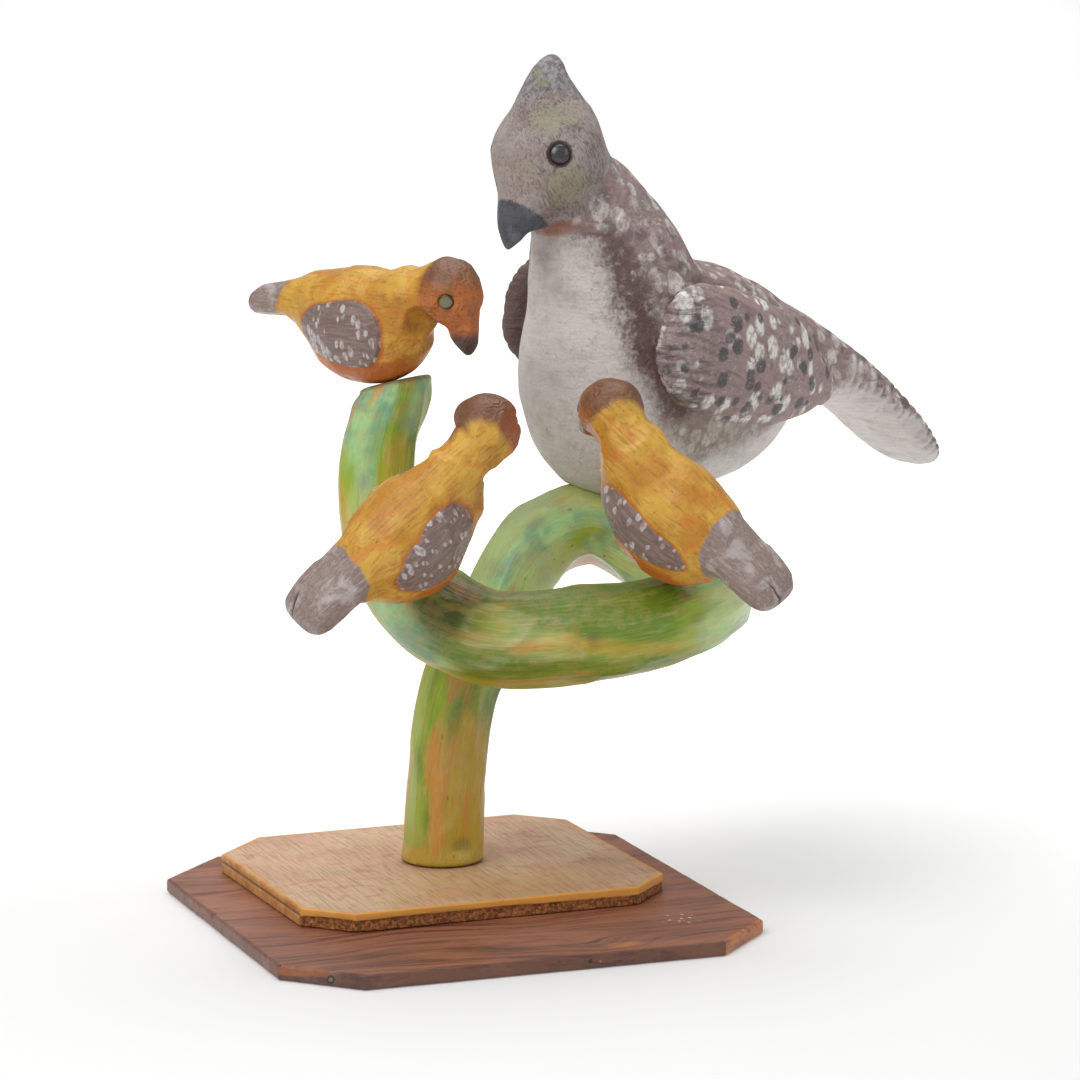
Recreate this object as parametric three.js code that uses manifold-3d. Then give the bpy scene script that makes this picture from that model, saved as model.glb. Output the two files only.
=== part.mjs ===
// Folk carving of a grouse hen and three chicks on a curled branch, standing on two stacked boards.
// Millimetres, +Z up. The origin is the middle of the lower board's underside, +X runs along its
// front edge and +Y towards the back.

import * as THREE from "three";
import { mergeVertices } from "three/addons/utils/BufferGeometryUtils.js";
import Module from "manifold-3d";

const wasm = await Module();
wasm.setup();

// Driving dimensions

const GAP = 0.3;

const LOWER_BOARD = { width: 330, depth: 338, thickness: 9.5, corners: [43, 45, 35, 50], edge: 1.2 };
const UPPER_BOARD = { width: 255, depth: 228, thickness: 12.4, corners: [28, 30, 28, 39], edge: 0.5 };
const UPPER_BOARD_CENTRE = { x: 3.2, y: 49.3, turn: 1.2 };
const BOARD_TOP = LOWER_BOARD.thickness + GAP + UPPER_BOARD.thickness;

// The branch from its foot on the boards, up the trunk, round the loop and up the post: x, y, z and
// radius. The points are picked by eye where the curve changes.
const BRANCH_ROUTE = [
  [8, 55, BOARD_TOP + GAP, 27.5],
  [11, 54, 75, 27],
  [20, 54, 135, 27.3],
  [44, 56, 187, 28.5],
  [78, 66, 228, 29.5],
  [118, 64, 242, 29.5],
  [150, 37, 225, 29.5],
  [170, -17, 212, 30.5],
  [143, -61, 204, 30],
  [100, -68, 196, 30.5],
  [54, -54, 191, 33.5],
  [8, -31, 191, 33.5],
  [-28, 2, 214, 30.5],
  [-43, 27, 258, 28],
  [-42, 34, 305, 27.5],
  [-30, 33, 350, 27.5],
];
const BRANCH = { sides: 14, rings: 56, cutLean: { x: 0.41, y: -0.27 }, cutFrom: 0.9 };

// Eye beads as shares of their radius: how far the dome stands out and how deep its seat is.
const EYE = { dome: 0.45, depth: 0.35, steps: 2, sides: 10, roughness: 0.15 };

const WOOD_PAINT = 0.55;
const COLOURS = {
  lowerBoard: 0x5a3328,
  upperBoard: 0xb98a5c,
  branch: 0x7f9a45,
  hen: 0x8b7f7c,
  chick: 0xb5852c,
  henEye: 0x1c2224,
  chickEye: 0x6d6b40,
};

// A station of a lofted body: place along the body, then half width, reach above and reach below.
const HEN = {
  at: [120.6, 55.5, 262.5],
  heading: 202.4,
  around: 24,
  body: {
    stations: [
      [-182, 0, 74, 58, 60, 58],
      [-122, 0, 80, 66, 66, 82],
      [-60, 0, 86, 71, 71, 90],
      [-2, 0, 90, 72, 76, 103],
      [54, 0, 92, 70, 80, 103],
    ],
    along: 22,
    blunt: 2.15,
    square: 2.3,
  },
  neck: {
    stations: [
      [-60, 0, 66, 60, 52, 96],
      [-26, 0, 132, 60, 47, 82],
      [6, 0, 190, 45, 39, 50],
      [42, 0, 250, 34, 31, 34],
    ],
    along: 14,
  },
  head: {
    stations: [
      [30, 0, 277, 33, 34, 29],
      [46, 0, 232, 38, 40, 37],
      [74, 0, 182, 28, 26, 27],
    ],
    along: 14,
  },
  beak: {
    stations: [
      [56, 0, 216, 19, 19, 20],
      [76, 0, 192, 15, 14, 15],
      [86, 0, 173, 8, 7, 8],
    ],
    along: 8,
  },
  crest: {
    stations: [
      [38, 0, 236, 30, 30, 30],
      [46, 0, 272, 21, 17, 27],
      [46, 0, 297, 11, 10, 12],
    ],
    along: 8,
    blunt: 2.6,
  },
  wing: {
    stations: [
      [-180, 41, 58, 11, 18, 16],
      [-115, 59, 77, 15, 40, 34],
      [-48, 67, 97, 18, 46, 42],
      [15, 75, 112, 16, 54, 42],
    ],
    along: 14,
    blunt: 3,
  },
  tail: {
    stations: [
      [-92, 0, 100, 52, 46, 46],
      [-168, 0, 80, 42, 34, 32],
      [-234, 0, 53, 38, 17, 15],
      [-308, 0, -9, 45, 8, 8],
    ],
    along: 18,
    blunt: 4,
    square: 2.8,
    arch: 4,
  },
  eye: { radius: 6.3, from: [44, 0, 232], towards: [22.5, 32, 8] },
};

const CHICK = {
  around: 14,
  body: {
    stations: [
      [-92, 0, 54, 18, 18, 18],
      [-60, 0, 50, 27, 29, 31],
      [-22, 0, 42, 33, 38, 42],
      [12, 0, 42, 33, 39, 42],
      [39, 0, 42, 28, 34, 36],
    ],
    along: 14,
  },
  head: {
    stations: [
      [38, 0, 86, 20, 20, 20],
      [54, 0, 66, 23, 23, 24],
      [70, 0, 40, 15, 15, 16],
    ],
    along: 10,
  },
  neck: {
    stations: [
      [-8, 0, 52, 26, 27, 24],
      [24, 0, 58, 26, 25, 19],
      [58, 0, 65, 19, 19, 17],
    ],
    along: 8,
  },
  beak: {
    stations: [
      [58, 0, 52, 13, 13, 14],
      [68, 0, 40, 9, 9, 10],
      [71, 0, 27, 5, 5, 5],
    ],
    along: 5,
  },
  tail: {
    stations: [
      [-52, 0, 52, 24, 19, 19],
      [-86, 0, 51, 21, 12, 14],
      [-114, 0, 47, 20, 10, 11],
    ],
    along: 8,
    blunt: 3.5,
    square: 2.5,
  },
  eye: { radius: 4.7, from: [54, 0, 66], towards: [12, 19, -4] },
  neckAt: 40,
};

// Where each chick sits: the place of its body's middle, then its heading, climb and lean and the
// turn of its head to its left, in degrees. size scales the whole bird. The other shares make the
// tail broader, the breast and throat leaner and the belly deeper.
const CHICKS = [
  {
    name: "chick_on_post",
    at: [-49, 43, 390],
    turns: { heading: -58.6, climb: 0, lean: 0, head: 0 },
    size: 0.97,
    tailWidth: 0.9,
    chest: 1,
    belly: 1,
  },
  {
    name: "chick_left",
    at: [-57, -77, 272],
    turns: { heading: 0, climb: 37.5, lean: 38, head: 40 },
    size: 1.02,
    tailWidth: 1,
    chest: 0.8,
    belly: 1.28,
  },
  {
    name: "chick_right",
    at: [109, -104, 277],
    turns: { heading: 134, climb: 37, lean: -27, head: -30 },
    size: 0.98,
    tailWidth: 1.03,
    chest: 1,
    belly: 1.25,
  },
];
const CHICK_MIDDLE = new THREE.Vector3(-20, 0, 42);

// Solids and meshes

function solidOf(geometry) {
  const bare = geometry.clone();
  bare.deleteAttribute("normal");
  bare.deleteAttribute("uv");
  const merged = mergeVertices(bare, 1e-4);
  return new wasm.Manifold(
    new wasm.Mesh({
      numProp: 3,
      vertProperties: new Float32Array(merged.attributes.position.array),
      triVerts: new Uint32Array(merged.index.array),
    }),
  );
}

function geometryOf(solid) {
  const { vertProperties, triVerts } = solid.getMesh();
  const geometry = new THREE.BufferGeometry();
  geometry.setAttribute("position", new THREE.BufferAttribute(vertProperties, 3));
  geometry.setIndex(new THREE.BufferAttribute(triVerts, 1));
  geometry.computeVertexNormals();
  return geometry;
}

function joined(solids) {
  return solids.reduce((whole, solid) => whole.add(solid));
}

function meshOf(name, geometry, colour, roughness = WOOD_PAINT) {
  const material = new THREE.MeshStandardMaterial({ color: colour, roughness, metalness: 0 });
  const mesh = new THREE.Mesh(geometry, material);
  mesh.name = name;
  return mesh;
}

// Moves every vertex of a geometry to the point that a function gives for it.
function reshaped(geometry, placeOf) {
  const position = geometry.attributes.position;
  const vertex = new THREE.Vector3();
  for (let i = 0; i < position.count; i += 1) {
    vertex.fromBufferAttribute(position, i);
    placeOf(vertex);
    position.setXYZ(i, vertex.x, vertex.y, vertex.z);
  }
  return geometry;
}

// A closed carved form: a sphere whose rings are spread along the stations and take their sizes.
// Its sections are upright ovals across the line of the stations, and both ends close.
function loft({ stations, along, blunt = 2, square = 2, arch = 0 }, around) {
  const line = new THREE.CatmullRomCurve3(stations.map(([x, y, z]) => new THREE.Vector3(x, y, z)));
  const sizes = new THREE.CatmullRomCurve3(stations.map(([, , , wide, above, below]) =>
    new THREE.Vector3(wide, above, below)));
  return reshaped(new THREE.SphereGeometry(1, around, along), (vertex) => {
    const turn = Math.max(-1, Math.min(1, vertex.y));
    const share = (1 - turn) / 2;
    const full = (1 - Math.abs(turn) ** blunt) ** (1 / blunt);
    const ring = Math.max(Math.hypot(vertex.x, vertex.z), 1e-9);
    const side = Math.sign(vertex.x) * Math.abs(vertex.x / ring) ** (2 / square);
    const rise = Math.sign(vertex.z) * Math.abs(vertex.z / ring) ** (2 / square);
    const centre = line.getPoint(share);
    const size = sizes.getPoint(share);
    const tangent = line.getTangent(share);
    const level = Math.hypot(tangent.x, tangent.z);
    const across = side * full * size.x;
    const upward = rise * full * (rise > 0 ? size.y : size.z) - arch * share * side * side * full;
    vertex.set(
      centre.x - (tangent.z / level) * upward,
      centre.y + across,
      centre.z + (tangent.x / level) * upward,
    );
  });
}

function mirrored(geometry) {
  const copy = reshaped(geometry.clone(), (vertex) => vertex.setY(-vertex.y));
  const index = copy.index.array;
  for (let i = 0; i < index.length; i += 3) {
    [index[i], index[i + 1]] = [index[i + 1], index[i]];
  }
  return copy;
}

// Boards

function clippedBoard({ width, depth, thickness, corners, edge }) {
  const x = width / 2 - edge;
  const y = depth / 2 - edge;
  const [frontLeft, frontRight, backRight, backLeft] = corners;
  const outline = new THREE.Shape([
    new THREE.Vector2(-x, -y + frontLeft),
    new THREE.Vector2(-x + frontLeft, -y),
    new THREE.Vector2(x - frontRight, -y),
    new THREE.Vector2(x, -y + frontRight),
    new THREE.Vector2(x, y - backRight),
    new THREE.Vector2(x - backRight, y),
    new THREE.Vector2(-x + backLeft, y),
    new THREE.Vector2(-x, y - backLeft),
  ]);
  return new THREE.ExtrudeGeometry(outline, {
    depth: thickness - 2 * edge,
    bevelThickness: edge,
    bevelSize: edge,
    bevelSegments: 1,
    steps: 1,
  }).translate(0, 0, edge);
}

function lowerBoard() {
  return meshOf("lower_board", clippedBoard(LOWER_BOARD), COLOURS.lowerBoard, 0.5);
}

function upperBoard() {
  const mesh = meshOf("upper_board", clippedBoard(UPPER_BOARD), COLOURS.upperBoard, 0.6);
  mesh.position.set(UPPER_BOARD_CENTRE.x, UPPER_BOARD_CENTRE.y, LOWER_BOARD.thickness + GAP);
  mesh.rotation.z = THREE.MathUtils.degToRad(UPPER_BOARD_CENTRE.turn);
  return mesh;
}

// Branch

// A cylinder laid along the route, grown by a clearance for cutting the birds' seats.
function branchGeometry(grown) {
  const { sides, rings, cutLean, cutFrom } = BRANCH;
  const line = new THREE.CatmullRomCurve3(BRANCH_ROUTE.map(([x, y, z]) => new THREE.Vector3(x, y, z)));
  const girth = new THREE.CatmullRomCurve3(BRANCH_ROUTE.map(([, , , radius], i) =>
    new THREE.Vector3(radius, i, 0)));
  const frames = line.computeFrenetFrames(rings, false);
  return reshaped(new THREE.CylinderGeometry(1, 1, 1, sides, rings), (vertex) => {
    const share = vertex.y + 0.5;
    const ring = Math.round(share * rings);
    const radius = girth.getPoint(share).x + grown;
    const normal = frames.normals[ring];
    const across = frames.tangents[ring].clone().cross(normal);
    const offset = normal.clone().multiplyScalar(vertex.z * radius);
    offset.addScaledVector(across, vertex.x * radius);
    const place = line.getPoint(share).add(offset);
    if (ring === 0) {
      place.z = BRANCH_ROUTE[0][2];
    }
    const nearCut = Math.max(0, share - cutFrom) / (1 - cutFrom);
    place.z += nearCut * (cutLean.x * offset.x + cutLean.y * offset.y + grown);
    vertex.copy(place);
  });
}

// Birds

function eyeGeometry(radius) {
  const dome = radius * EYE.dome;
  const depth = radius * EYE.depth;
  const profile = [new THREE.Vector2(0, -depth), new THREE.Vector2(radius, -depth)];
  for (let i = 0; i <= EYE.steps; i += 1) {
    const angle = (i / EYE.steps) * (Math.PI / 2);
    profile.push(new THREE.Vector2(radius * Math.cos(angle), dome * Math.sin(angle)));
  }
  profile[profile.length - 1].x = 0;
  return new THREE.LatheGeometry(profile, EYE.sides);
}

// Where an eye sits: the point of the carved head that the given direction meets, facing outwards.
function eyePlace(head, { from, towards }, mirror) {
  const origin = new THREE.Vector3(...from);
  const direction = new THREE.Vector3(towards[0], towards[1] * mirror, towards[2]).normalize();
  const probe = new THREE.Mesh(head, new THREE.MeshBasicMaterial({ side: THREE.DoubleSide }));
  const [hit] = new THREE.Raycaster(origin, direction).intersectObject(probe);
  const facing = new THREE.Quaternion().setFromUnitVectors(new THREE.Vector3(0, 1, 0), direction);
  return new THREE.Matrix4().compose(hit.point, facing, new THREE.Vector3(1, 1, 1));
}

function eyePlaces(head, eye) {
  return [1, -1].map((mirror) => eyePlace(head, eye, mirror));
}

function socketSolid(radius, place) {
  const height = 2 * radius;
  const cutter = new THREE.CylinderGeometry(radius + GAP, radius + GAP, height, EYE.sides);
  cutter.translate(0, height / 2 - radius * EYE.depth - GAP, 0);
  return solidOf(cutter.applyMatrix4(place));
}

// A bird in its own frame: the joined forms with the seat of the branch and the eye sockets cut out.
function carvedBird(name, forms, seat, eye, places, colour) {
  const sockets = places.map((place) => socketSolid(eye.radius, place));
  const carved = joined(forms.map(solidOf)).subtract(joined([seat, ...sockets]));
  const group = new THREE.Group();
  group.add(meshOf(name, geometryOf(carved), colour));
  const eyeColour = name === "hen" ? COLOURS.henEye : COLOURS.chickEye;
  places.forEach((place, i) => {
    const side = i === 0 ? "left" : "right";
    const bead = meshOf(`${name}_eye_${side}`, eyeGeometry(eye.radius), eyeColour, EYE.roughness);
    bead.applyMatrix4(place);
    group.add(bead);
  });
  return group;
}

// The grown branch as seen from a bird's own frame.
function seatIn(poseMatrix) {
  const back = poseMatrix.clone().invert();
  return solidOf(branchGeometry(GAP).applyMatrix4(back));
}

function hen() {
  const { at, heading, around, body, neck, head, beak, crest, wing, tail, eye } = HEN;
  const pose = new THREE.Object3D();
  pose.position.set(...at);
  pose.rotation.z = THREE.MathUtils.degToRad(heading);
  pose.updateMatrix();
  const skull = loft(head, around - 6);
  const nearWing = loft(wing, around - 8);
  const forms = [
    loft(body, around),
    loft(neck, around - 6),
    skull,
    loft(beak, 12),
    loft(crest, 12),
    nearWing,
    mirrored(nearWing),
    loft(tail, 14),
  ];
  const places = eyePlaces(skull, eye);
  const group = carvedBird("hen", forms, seatIn(pose.matrix), eye, places, COLOURS.hen);
  group.applyMatrix4(pose.matrix);
  return group;
}

// A form with its stations from the given one on scaled at the sides and below.
function fuller(form, wideShare, belowShare, first) {
  const stations = form.stations.map((station, i) => {
    const [x, y, z, wide, above, below] = station;
    return i < first ? station : [x, y, z, wide * wideShare, above, below * belowShare];
  });
  return { ...form, stations };
}

function chick({ name, at, turns, size, tailWidth, chest, belly }) {
  const pose = new THREE.Object3D();
  pose.rotation.set(
    THREE.MathUtils.degToRad(turns.lean),
    THREE.MathUtils.degToRad(-turns.climb),
    THREE.MathUtils.degToRad(turns.heading),
    "ZYX",
  );
  const shift = CHICK_MIDDLE.clone().multiplyScalar(size).applyEuler(pose.rotation);
  pose.position.set(...at).sub(shift);
  pose.updateMatrix();
  const { around, body, head, neck, beak, tail, eye, neckAt } = CHICK;
  const grown = new THREE.Matrix4().makeScale(size, size, size);
  const turned = new THREE.Matrix4().makeTranslation(neckAt * size, 0, 0);
  turned.multiply(new THREE.Matrix4().makeRotationZ(THREE.MathUtils.degToRad(turns.head)));
  turned.multiply(new THREE.Matrix4().makeTranslation(-neckAt * size, 0, 0));
  const sized = (form) => loft(form, around).applyMatrix4(grown);
  const skull = sized(head);
  const scaledEye = { ...eye, from: eye.from.map((value) => value * size) };
  const places = eyePlaces(skull, scaledEye).map((place) => place.premultiply(turned));
  const forms = [
    sized(fuller(fuller(body, 1, belly, 1), chest, chest / belly, body.stations.length - 2)),
    sized(fuller(neck, chest, chest, 0)),
    sized(tail).applyMatrix4(new THREE.Matrix4().makeScale(1, tailWidth, 1)),
    skull.applyMatrix4(turned),
    sized(beak).applyMatrix4(turned),
  ];
  const group = carvedBird(name, forms, seatIn(pose.matrix), eye, places, COLOURS.chick);
  group.applyMatrix4(pose.matrix);
  return group;
}

const carving = new THREE.Group();
carving.add(lowerBoard());
carving.add(upperBoard());
carving.add(meshOf("branch", branchGeometry(0), COLOURS.branch));
carving.add(hen());
CHICKS.forEach((seat) => carving.add(chick(seat)));

export default carving;
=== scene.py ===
"""Grouse carving: a grouse and three chicks on a looping painted branch, on two stepped boards.

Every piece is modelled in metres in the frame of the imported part. The carved masses keep the
stations of the solids, in millimetres, and take their relief and paint here.
"""

import logging
import math
from dataclasses import dataclass, field, replace
from enum import Enum
from functools import cache
from typing import Callable, Iterator, Sequence

import bpy
import numpy as np
from mathutils import Matrix, Vector
from mathutils.bvhtree import BVHTree

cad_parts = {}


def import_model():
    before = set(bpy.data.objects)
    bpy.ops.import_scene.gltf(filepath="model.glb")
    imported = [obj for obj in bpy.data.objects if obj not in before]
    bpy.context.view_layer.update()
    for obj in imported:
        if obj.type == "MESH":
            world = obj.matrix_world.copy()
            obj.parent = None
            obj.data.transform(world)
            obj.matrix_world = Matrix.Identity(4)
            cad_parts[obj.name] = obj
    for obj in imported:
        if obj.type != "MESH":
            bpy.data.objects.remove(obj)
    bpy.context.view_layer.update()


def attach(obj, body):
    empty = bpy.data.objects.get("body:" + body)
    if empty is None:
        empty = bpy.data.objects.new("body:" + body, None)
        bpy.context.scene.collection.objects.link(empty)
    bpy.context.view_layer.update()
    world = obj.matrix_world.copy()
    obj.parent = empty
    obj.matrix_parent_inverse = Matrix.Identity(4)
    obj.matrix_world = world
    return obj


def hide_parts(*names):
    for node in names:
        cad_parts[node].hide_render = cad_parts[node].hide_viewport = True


LOG = logging.getLogger("grouse_carving")
MM = 0.001
SEAT_GAP = 0.3  # millimetres between the branch and what sits on it
BODY = "root"

# The numbers that scatter the cells of random waves
AXIS_FACTORS = (73856093, 19349663, 83492791)
SEED_FACTOR = 9176411
MIXERS = ((13, 1274126177), (15, 2246822519))
WORD = 0xFFFFFFFF

# Node sockets that are taken by number: some share a name
OBJECT_OUT = 3
VECTOR_OUT = 1
LEVEL_OUT = 2
COLOUR_IN = (6, 7)
COLOUR_OUT = 2

Array = np.ndarray
Piece = bpy.types.Object
Place = tuple[float, float, float]
Colour = tuple[float, float, float]
Mover = Callable[[Array], Array]


# Numbers along curves and over surfaces


class Spline:
    """A smooth centripetal line through points, whose share runs evenly from point to point."""

    def __init__(self, points: Sequence[Sequence[float]]) -> None:
        """Keeps the points and adds one straight on past each end."""
        inner = np.array(points, float)
        self.points = np.vstack([2 * inner[0] - inner[1], inner, 2 * inner[-1] - inner[-2]])
        self.spans = len(inner) - 1

    def at(self, share: Array) -> Array:
        """Gives the points of the line.

        Args:
            share: Values from 0 at the start to 1 at the end.

        Returns:
            One point for each share.
        """
        place = np.clip(share, 0, 1) * self.spans
        span = np.minimum(place.astype(int), self.spans - 1)
        rest = (place - span)[:, None]
        p0, p1, p2, p3 = (self.points[span + i] for i in range(4))
        pairs = ((p0, p1), (p1, p2), (p2, p3))
        d0, d1, d2 = (np.sqrt(np.maximum(length(b - a), 1e-8))[:, None] for a, b in pairs)
        leave = ((p1 - p0) / d0 - (p2 - p0) / (d0 + d1) + (p2 - p1) / d1) * d1
        arrive = ((p2 - p1) / d1 - (p3 - p1) / (d1 + d2) + (p3 - p2) / d2) * d1
        square = -3 * p1 + 3 * p2 - 2 * leave - arrive
        cube = 2 * p1 - 2 * p2 + leave + arrive
        return p1 + leave * rest + square * rest**2 + cube * rest**3

    def heading(self, share: Array, step: float = 1e-4) -> Array:
        """Gives the unit directions of the line at shares of its spans."""
        ahead = self.at(np.clip(share + step, 0, 1)) - self.at(np.clip(share - step, 0, 1))
        return ahead / length(ahead)[:, None]


def length(rows: Array) -> Array:
    """Gives the length of each row."""
    return np.linalg.norm(rows, axis=1)


def ease(value: Array, low: float, high: float) -> Array:
    """Rises softly from 0 at low to 1 at high, or falls where high is below low."""
    share = np.clip((value - low) / (high - low), 0, 1)
    return share * share * (3 - 2 * share)


def near(points: Array, place: Sequence[float], outer: float, inner: float) -> Array:
    """Gives 1 nearer to a place than inner and 0 beyond outer."""
    return ease(length(points - np.array(place)), outer, inner)


def swell(points: Array, size: float, seed: int) -> Array:
    """Gives smooth random waves over points.

    Args:
        points: Places, in the units of size.
        size: How far apart the crests of the waves are.
        seed: A number that picks the waves.

    Returns:
        A height from -1 to 1 for each point.
    """
    scaled = points / size
    cell = np.floor(scaled).astype(np.int64)
    rest = scaled - cell
    rest = rest * rest * (3 - 2 * rest)
    total = np.zeros(len(points))
    for corner in range(8):
        bits = np.array([corner & 1, corner >> 1 & 1, corner >> 2 & 1])
        key = (cell + bits) @ np.array(AXIS_FACTORS) + seed * SEED_FACTOR
        for shift, factor in MIXERS:
            key = (key ^ (key >> shift)) * factor & WORD
        total += np.prod(np.where(bits, rest, 1 - rest), axis=1) * (key / 2**31 - 1)
    return total


def moved_by(matrix: Matrix, points: Array) -> Array:
    """Moves points by a four by four matrix."""
    numbers = np.array(matrix)
    return points @ numbers[:3, :3].T + numbers[:3, 3]


def turned(degrees: float, axis: str) -> Matrix:
    """Gives the turn about an axis."""
    return Matrix.Rotation(math.radians(degrees), 4, axis)


def read(rows: bpy.types.bpy_prop_collection, name: str, width: int, kind: type = float) -> Array:
    """Reads one property of all rows of a mesh.

    Args:
        rows: The mesh's vertices or edges.
        name: The property.
        width: How many numbers it has in each row.
        kind: Their type.

    Returns:
        An array of rows by numbers.
    """
    values = np.empty(len(rows) * width, kind)
    rows.foreach_get(name, values)
    return values.reshape(-1, width)


class Carving:
    """The vertices of one mesh, moved and marked as arrays."""

    def __init__(self, piece: Piece) -> None:
        """Reads the vertices and edges of a piece.

        Args:
            piece: The mesh object to work on.
        """
        self.piece = piece
        self.points = read(piece.data.vertices, "co", 3)
        self.edges = read(piece.data.edges, "vertices", 2, int)
        self.degree = np.maximum(np.bincount(self.edges.ravel(), minlength=len(self.points)), 1)

    def write(self) -> None:
        """Writes the moved points back to the mesh."""
        self.piece.data.vertices.foreach_set("co", self.points.astype(np.float32).ravel())
        self.piece.data.update()

    def normals(self) -> Array:
        """Gives the vertex normals of the mesh as last written."""
        return read(self.piece.data.vertices, "normal", 3)

    def swell_out(self, height: Array) -> None:
        """Moves each vertex out along its normal, writes the mesh."""
        self.points += self.normals() * height[:, None]
        self.write()

    def averaged(self, values: Array, passes: int, weight: Array | float = 1.0) -> Array:
        """Evens values out over the mesh's edges.

        Args:
            values: One row for each vertex.
            passes: How many times each vertex takes its neighbours' mean.
            weight: How much of each pass a vertex takes, alone or one for each vertex.

        Returns:
            The evened values.
        """
        out = values.reshape(len(values), -1).astype(float)
        share = np.broadcast_to(np.asarray(weight, float), (len(out),))[:, None]
        one, other = self.edges.T
        for _ in range(passes):
            total = [
                np.bincount(one, column[other], len(out)) + np.bincount(other, column[one], len(out))
                for column in out.T
            ]
            out += share * (np.stack(total, axis=1) / self.degree[:, None] - out)
        return out.reshape(values.shape)

    def pare(self, count: int, reach: float, depth: float, seed: int, where: Array) -> None:
        """Cuts flat knife facets at random places and writes the mesh.

        Args:
            count: How many facets to cut.
            reach: How far a facet may spread from its middle.
            depth: The deepest cut.
            seed: A number that picks the places.
            where: For each vertex, how much of a cut it takes, from 0 to 1.
        """
        draw = np.random.default_rng(seed)
        normals = self.normals()
        for index in draw.integers(0, len(self.points), count):
            cut = depth * draw.uniform(0.35, 1.0)
            away = self.points - self.points[index]
            distance = length(away)
            close = distance < reach
            above = away[close] @ normals[index] + cut
            pushed = np.maximum(above, 0) * where[close] * ease(distance[close], reach, 0.55 * reach)
            self.points[close] -= pushed[:, None] * normals[index]
        self.write()

    def mark(self, **marks: Array) -> None:
        """Stores a number, or a place, for each vertex under the names that the material reads."""
        for name, values in marks.items():
            kind, key = ("FLOAT", "value") if np.ndim(values) == 1 else ("FLOAT_VECTOR", "vector")
            attribute = self.piece.data.attributes.new(name, kind, "POINT")
            attribute.data.foreach_set(key, np.asarray(values, np.float32).ravel())

    def mark_relief(self, passes: int, full: float) -> None:
        """Marks what stands proud as "proud" and, for painted shade, what lies in hollows as "hollow".

        Args:
            passes: How far around each vertex the surface is compared.
            full: The height, in the mesh's units, that counts as wholly proud or sunk.
        """
        height = np.sum((self.points - self.averaged(self.points, passes)) * self.normals(), axis=1)
        self.mark(proud=np.clip(height / full, 0, 1), hollow=np.clip(-height / full, 0, 1))


# Operators, as by hand


def mode(name: str) -> None:
    """Goes to edit or object mode."""
    bpy.ops.object.mode_set(mode=name)


def free_hands() -> None:
    """Leaves edit mode and deselects everything."""
    if bpy.context.object and bpy.context.object.mode != "OBJECT":
        mode("OBJECT")
    bpy.ops.object.select_all(action="DESELECT")


def pick(piece: Piece) -> None:
    """Makes one piece the only selected and the active object."""
    free_hands()
    piece.select_set(True)
    bpy.context.view_layer.objects.active = piece


def rough_out(name: str, primitive: Callable[..., set], **sizes: object) -> Piece:
    """Adds a primitive as the start of a piece.

    Args:
        name: The new piece's name.
        primitive: The operator that adds it.
        **sizes: The operator's settings.

    Returns:
        The new piece.
    """
    free_hands()
    primitive(**sizes)
    piece = bpy.context.object
    piece.name = piece.data.name = name
    return piece


def ball(name: str, around: int, along: int) -> Piece:
    """Adds a unit ball, cut into that many segments and rings."""
    add = bpy.ops.mesh.primitive_uv_sphere_add
    return rough_out(name, add, segments=around, ring_count=along, radius=1)


def choose_edges(piece: Piece, wanted: Callable[[Array], Array]) -> None:
    """Selects the edges of a piece in edit mode by the places of their two ends.

    Args:
        piece: The piece, in object mode.
        wanted: Takes an array of edges by ends by coordinates and says which to select.
    """
    pick(piece)
    mode("EDIT")
    bpy.ops.mesh.select_mode(type="EDGE")
    bpy.ops.mesh.select_all(action="DESELECT")
    mode("OBJECT")
    mesh = piece.data
    ends = read(mesh.vertices, "co", 3)[read(mesh.edges, "vertices", 2, int)]
    mesh.edges.foreach_set("select", wanted(ends))
    mode("EDIT")


def face_outwards(piece: Piece) -> None:
    """Turns all faces of a closed piece outwards.

    Args:
        piece: The piece, in either mode.
    """
    pick(piece)
    mode("EDIT")
    bpy.ops.mesh.select_all(action="SELECT")
    bpy.ops.mesh.normals_make_consistent(inside=False)
    mode("OBJECT")


def finish_piece(piece: Piece, finish: "Finish", slot: str, node: str, smooth_angle: float) -> None:
    """Paints and shades a piece, rides it on the body and says which node it stands for.

    Args:
        piece: The finished piece.
        finish: What it is painted with.
        slot: A material slot's name; it is not used.
        node: The CAD node that it replaces.
        smooth_angle: Edges sharper than this many degrees stay crisp.
    """
    piece.data.materials.clear()
    piece.data.materials.append(finish.material())
    pick(piece)
    bpy.ops.object.shade_smooth_by_angle(angle=math.radians(smooth_angle))
    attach(piece, BODY)
    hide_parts(node)
    LOG.info("%s: %d faces, stands for %s", piece.name, len(piece.data.polygons), node)


# Shader nodes


def sum_of(operation: str, swapped: bool = False) -> Callable[["Flow", object], "Flow"]:
    """Makes the operator of a flow that adds one kind of Math node.

    Args:
        operation: What the node does.
        swapped: Whether the flow is the second number.

    Returns:
        The operator.
    """

    def result(flow: "Flow", other: object) -> "Flow":
        """Adds the node for a flow and another number."""
        return flow.bench.math(operation, *((other, flow) if swapped else (flow, other)))

    return result


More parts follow.
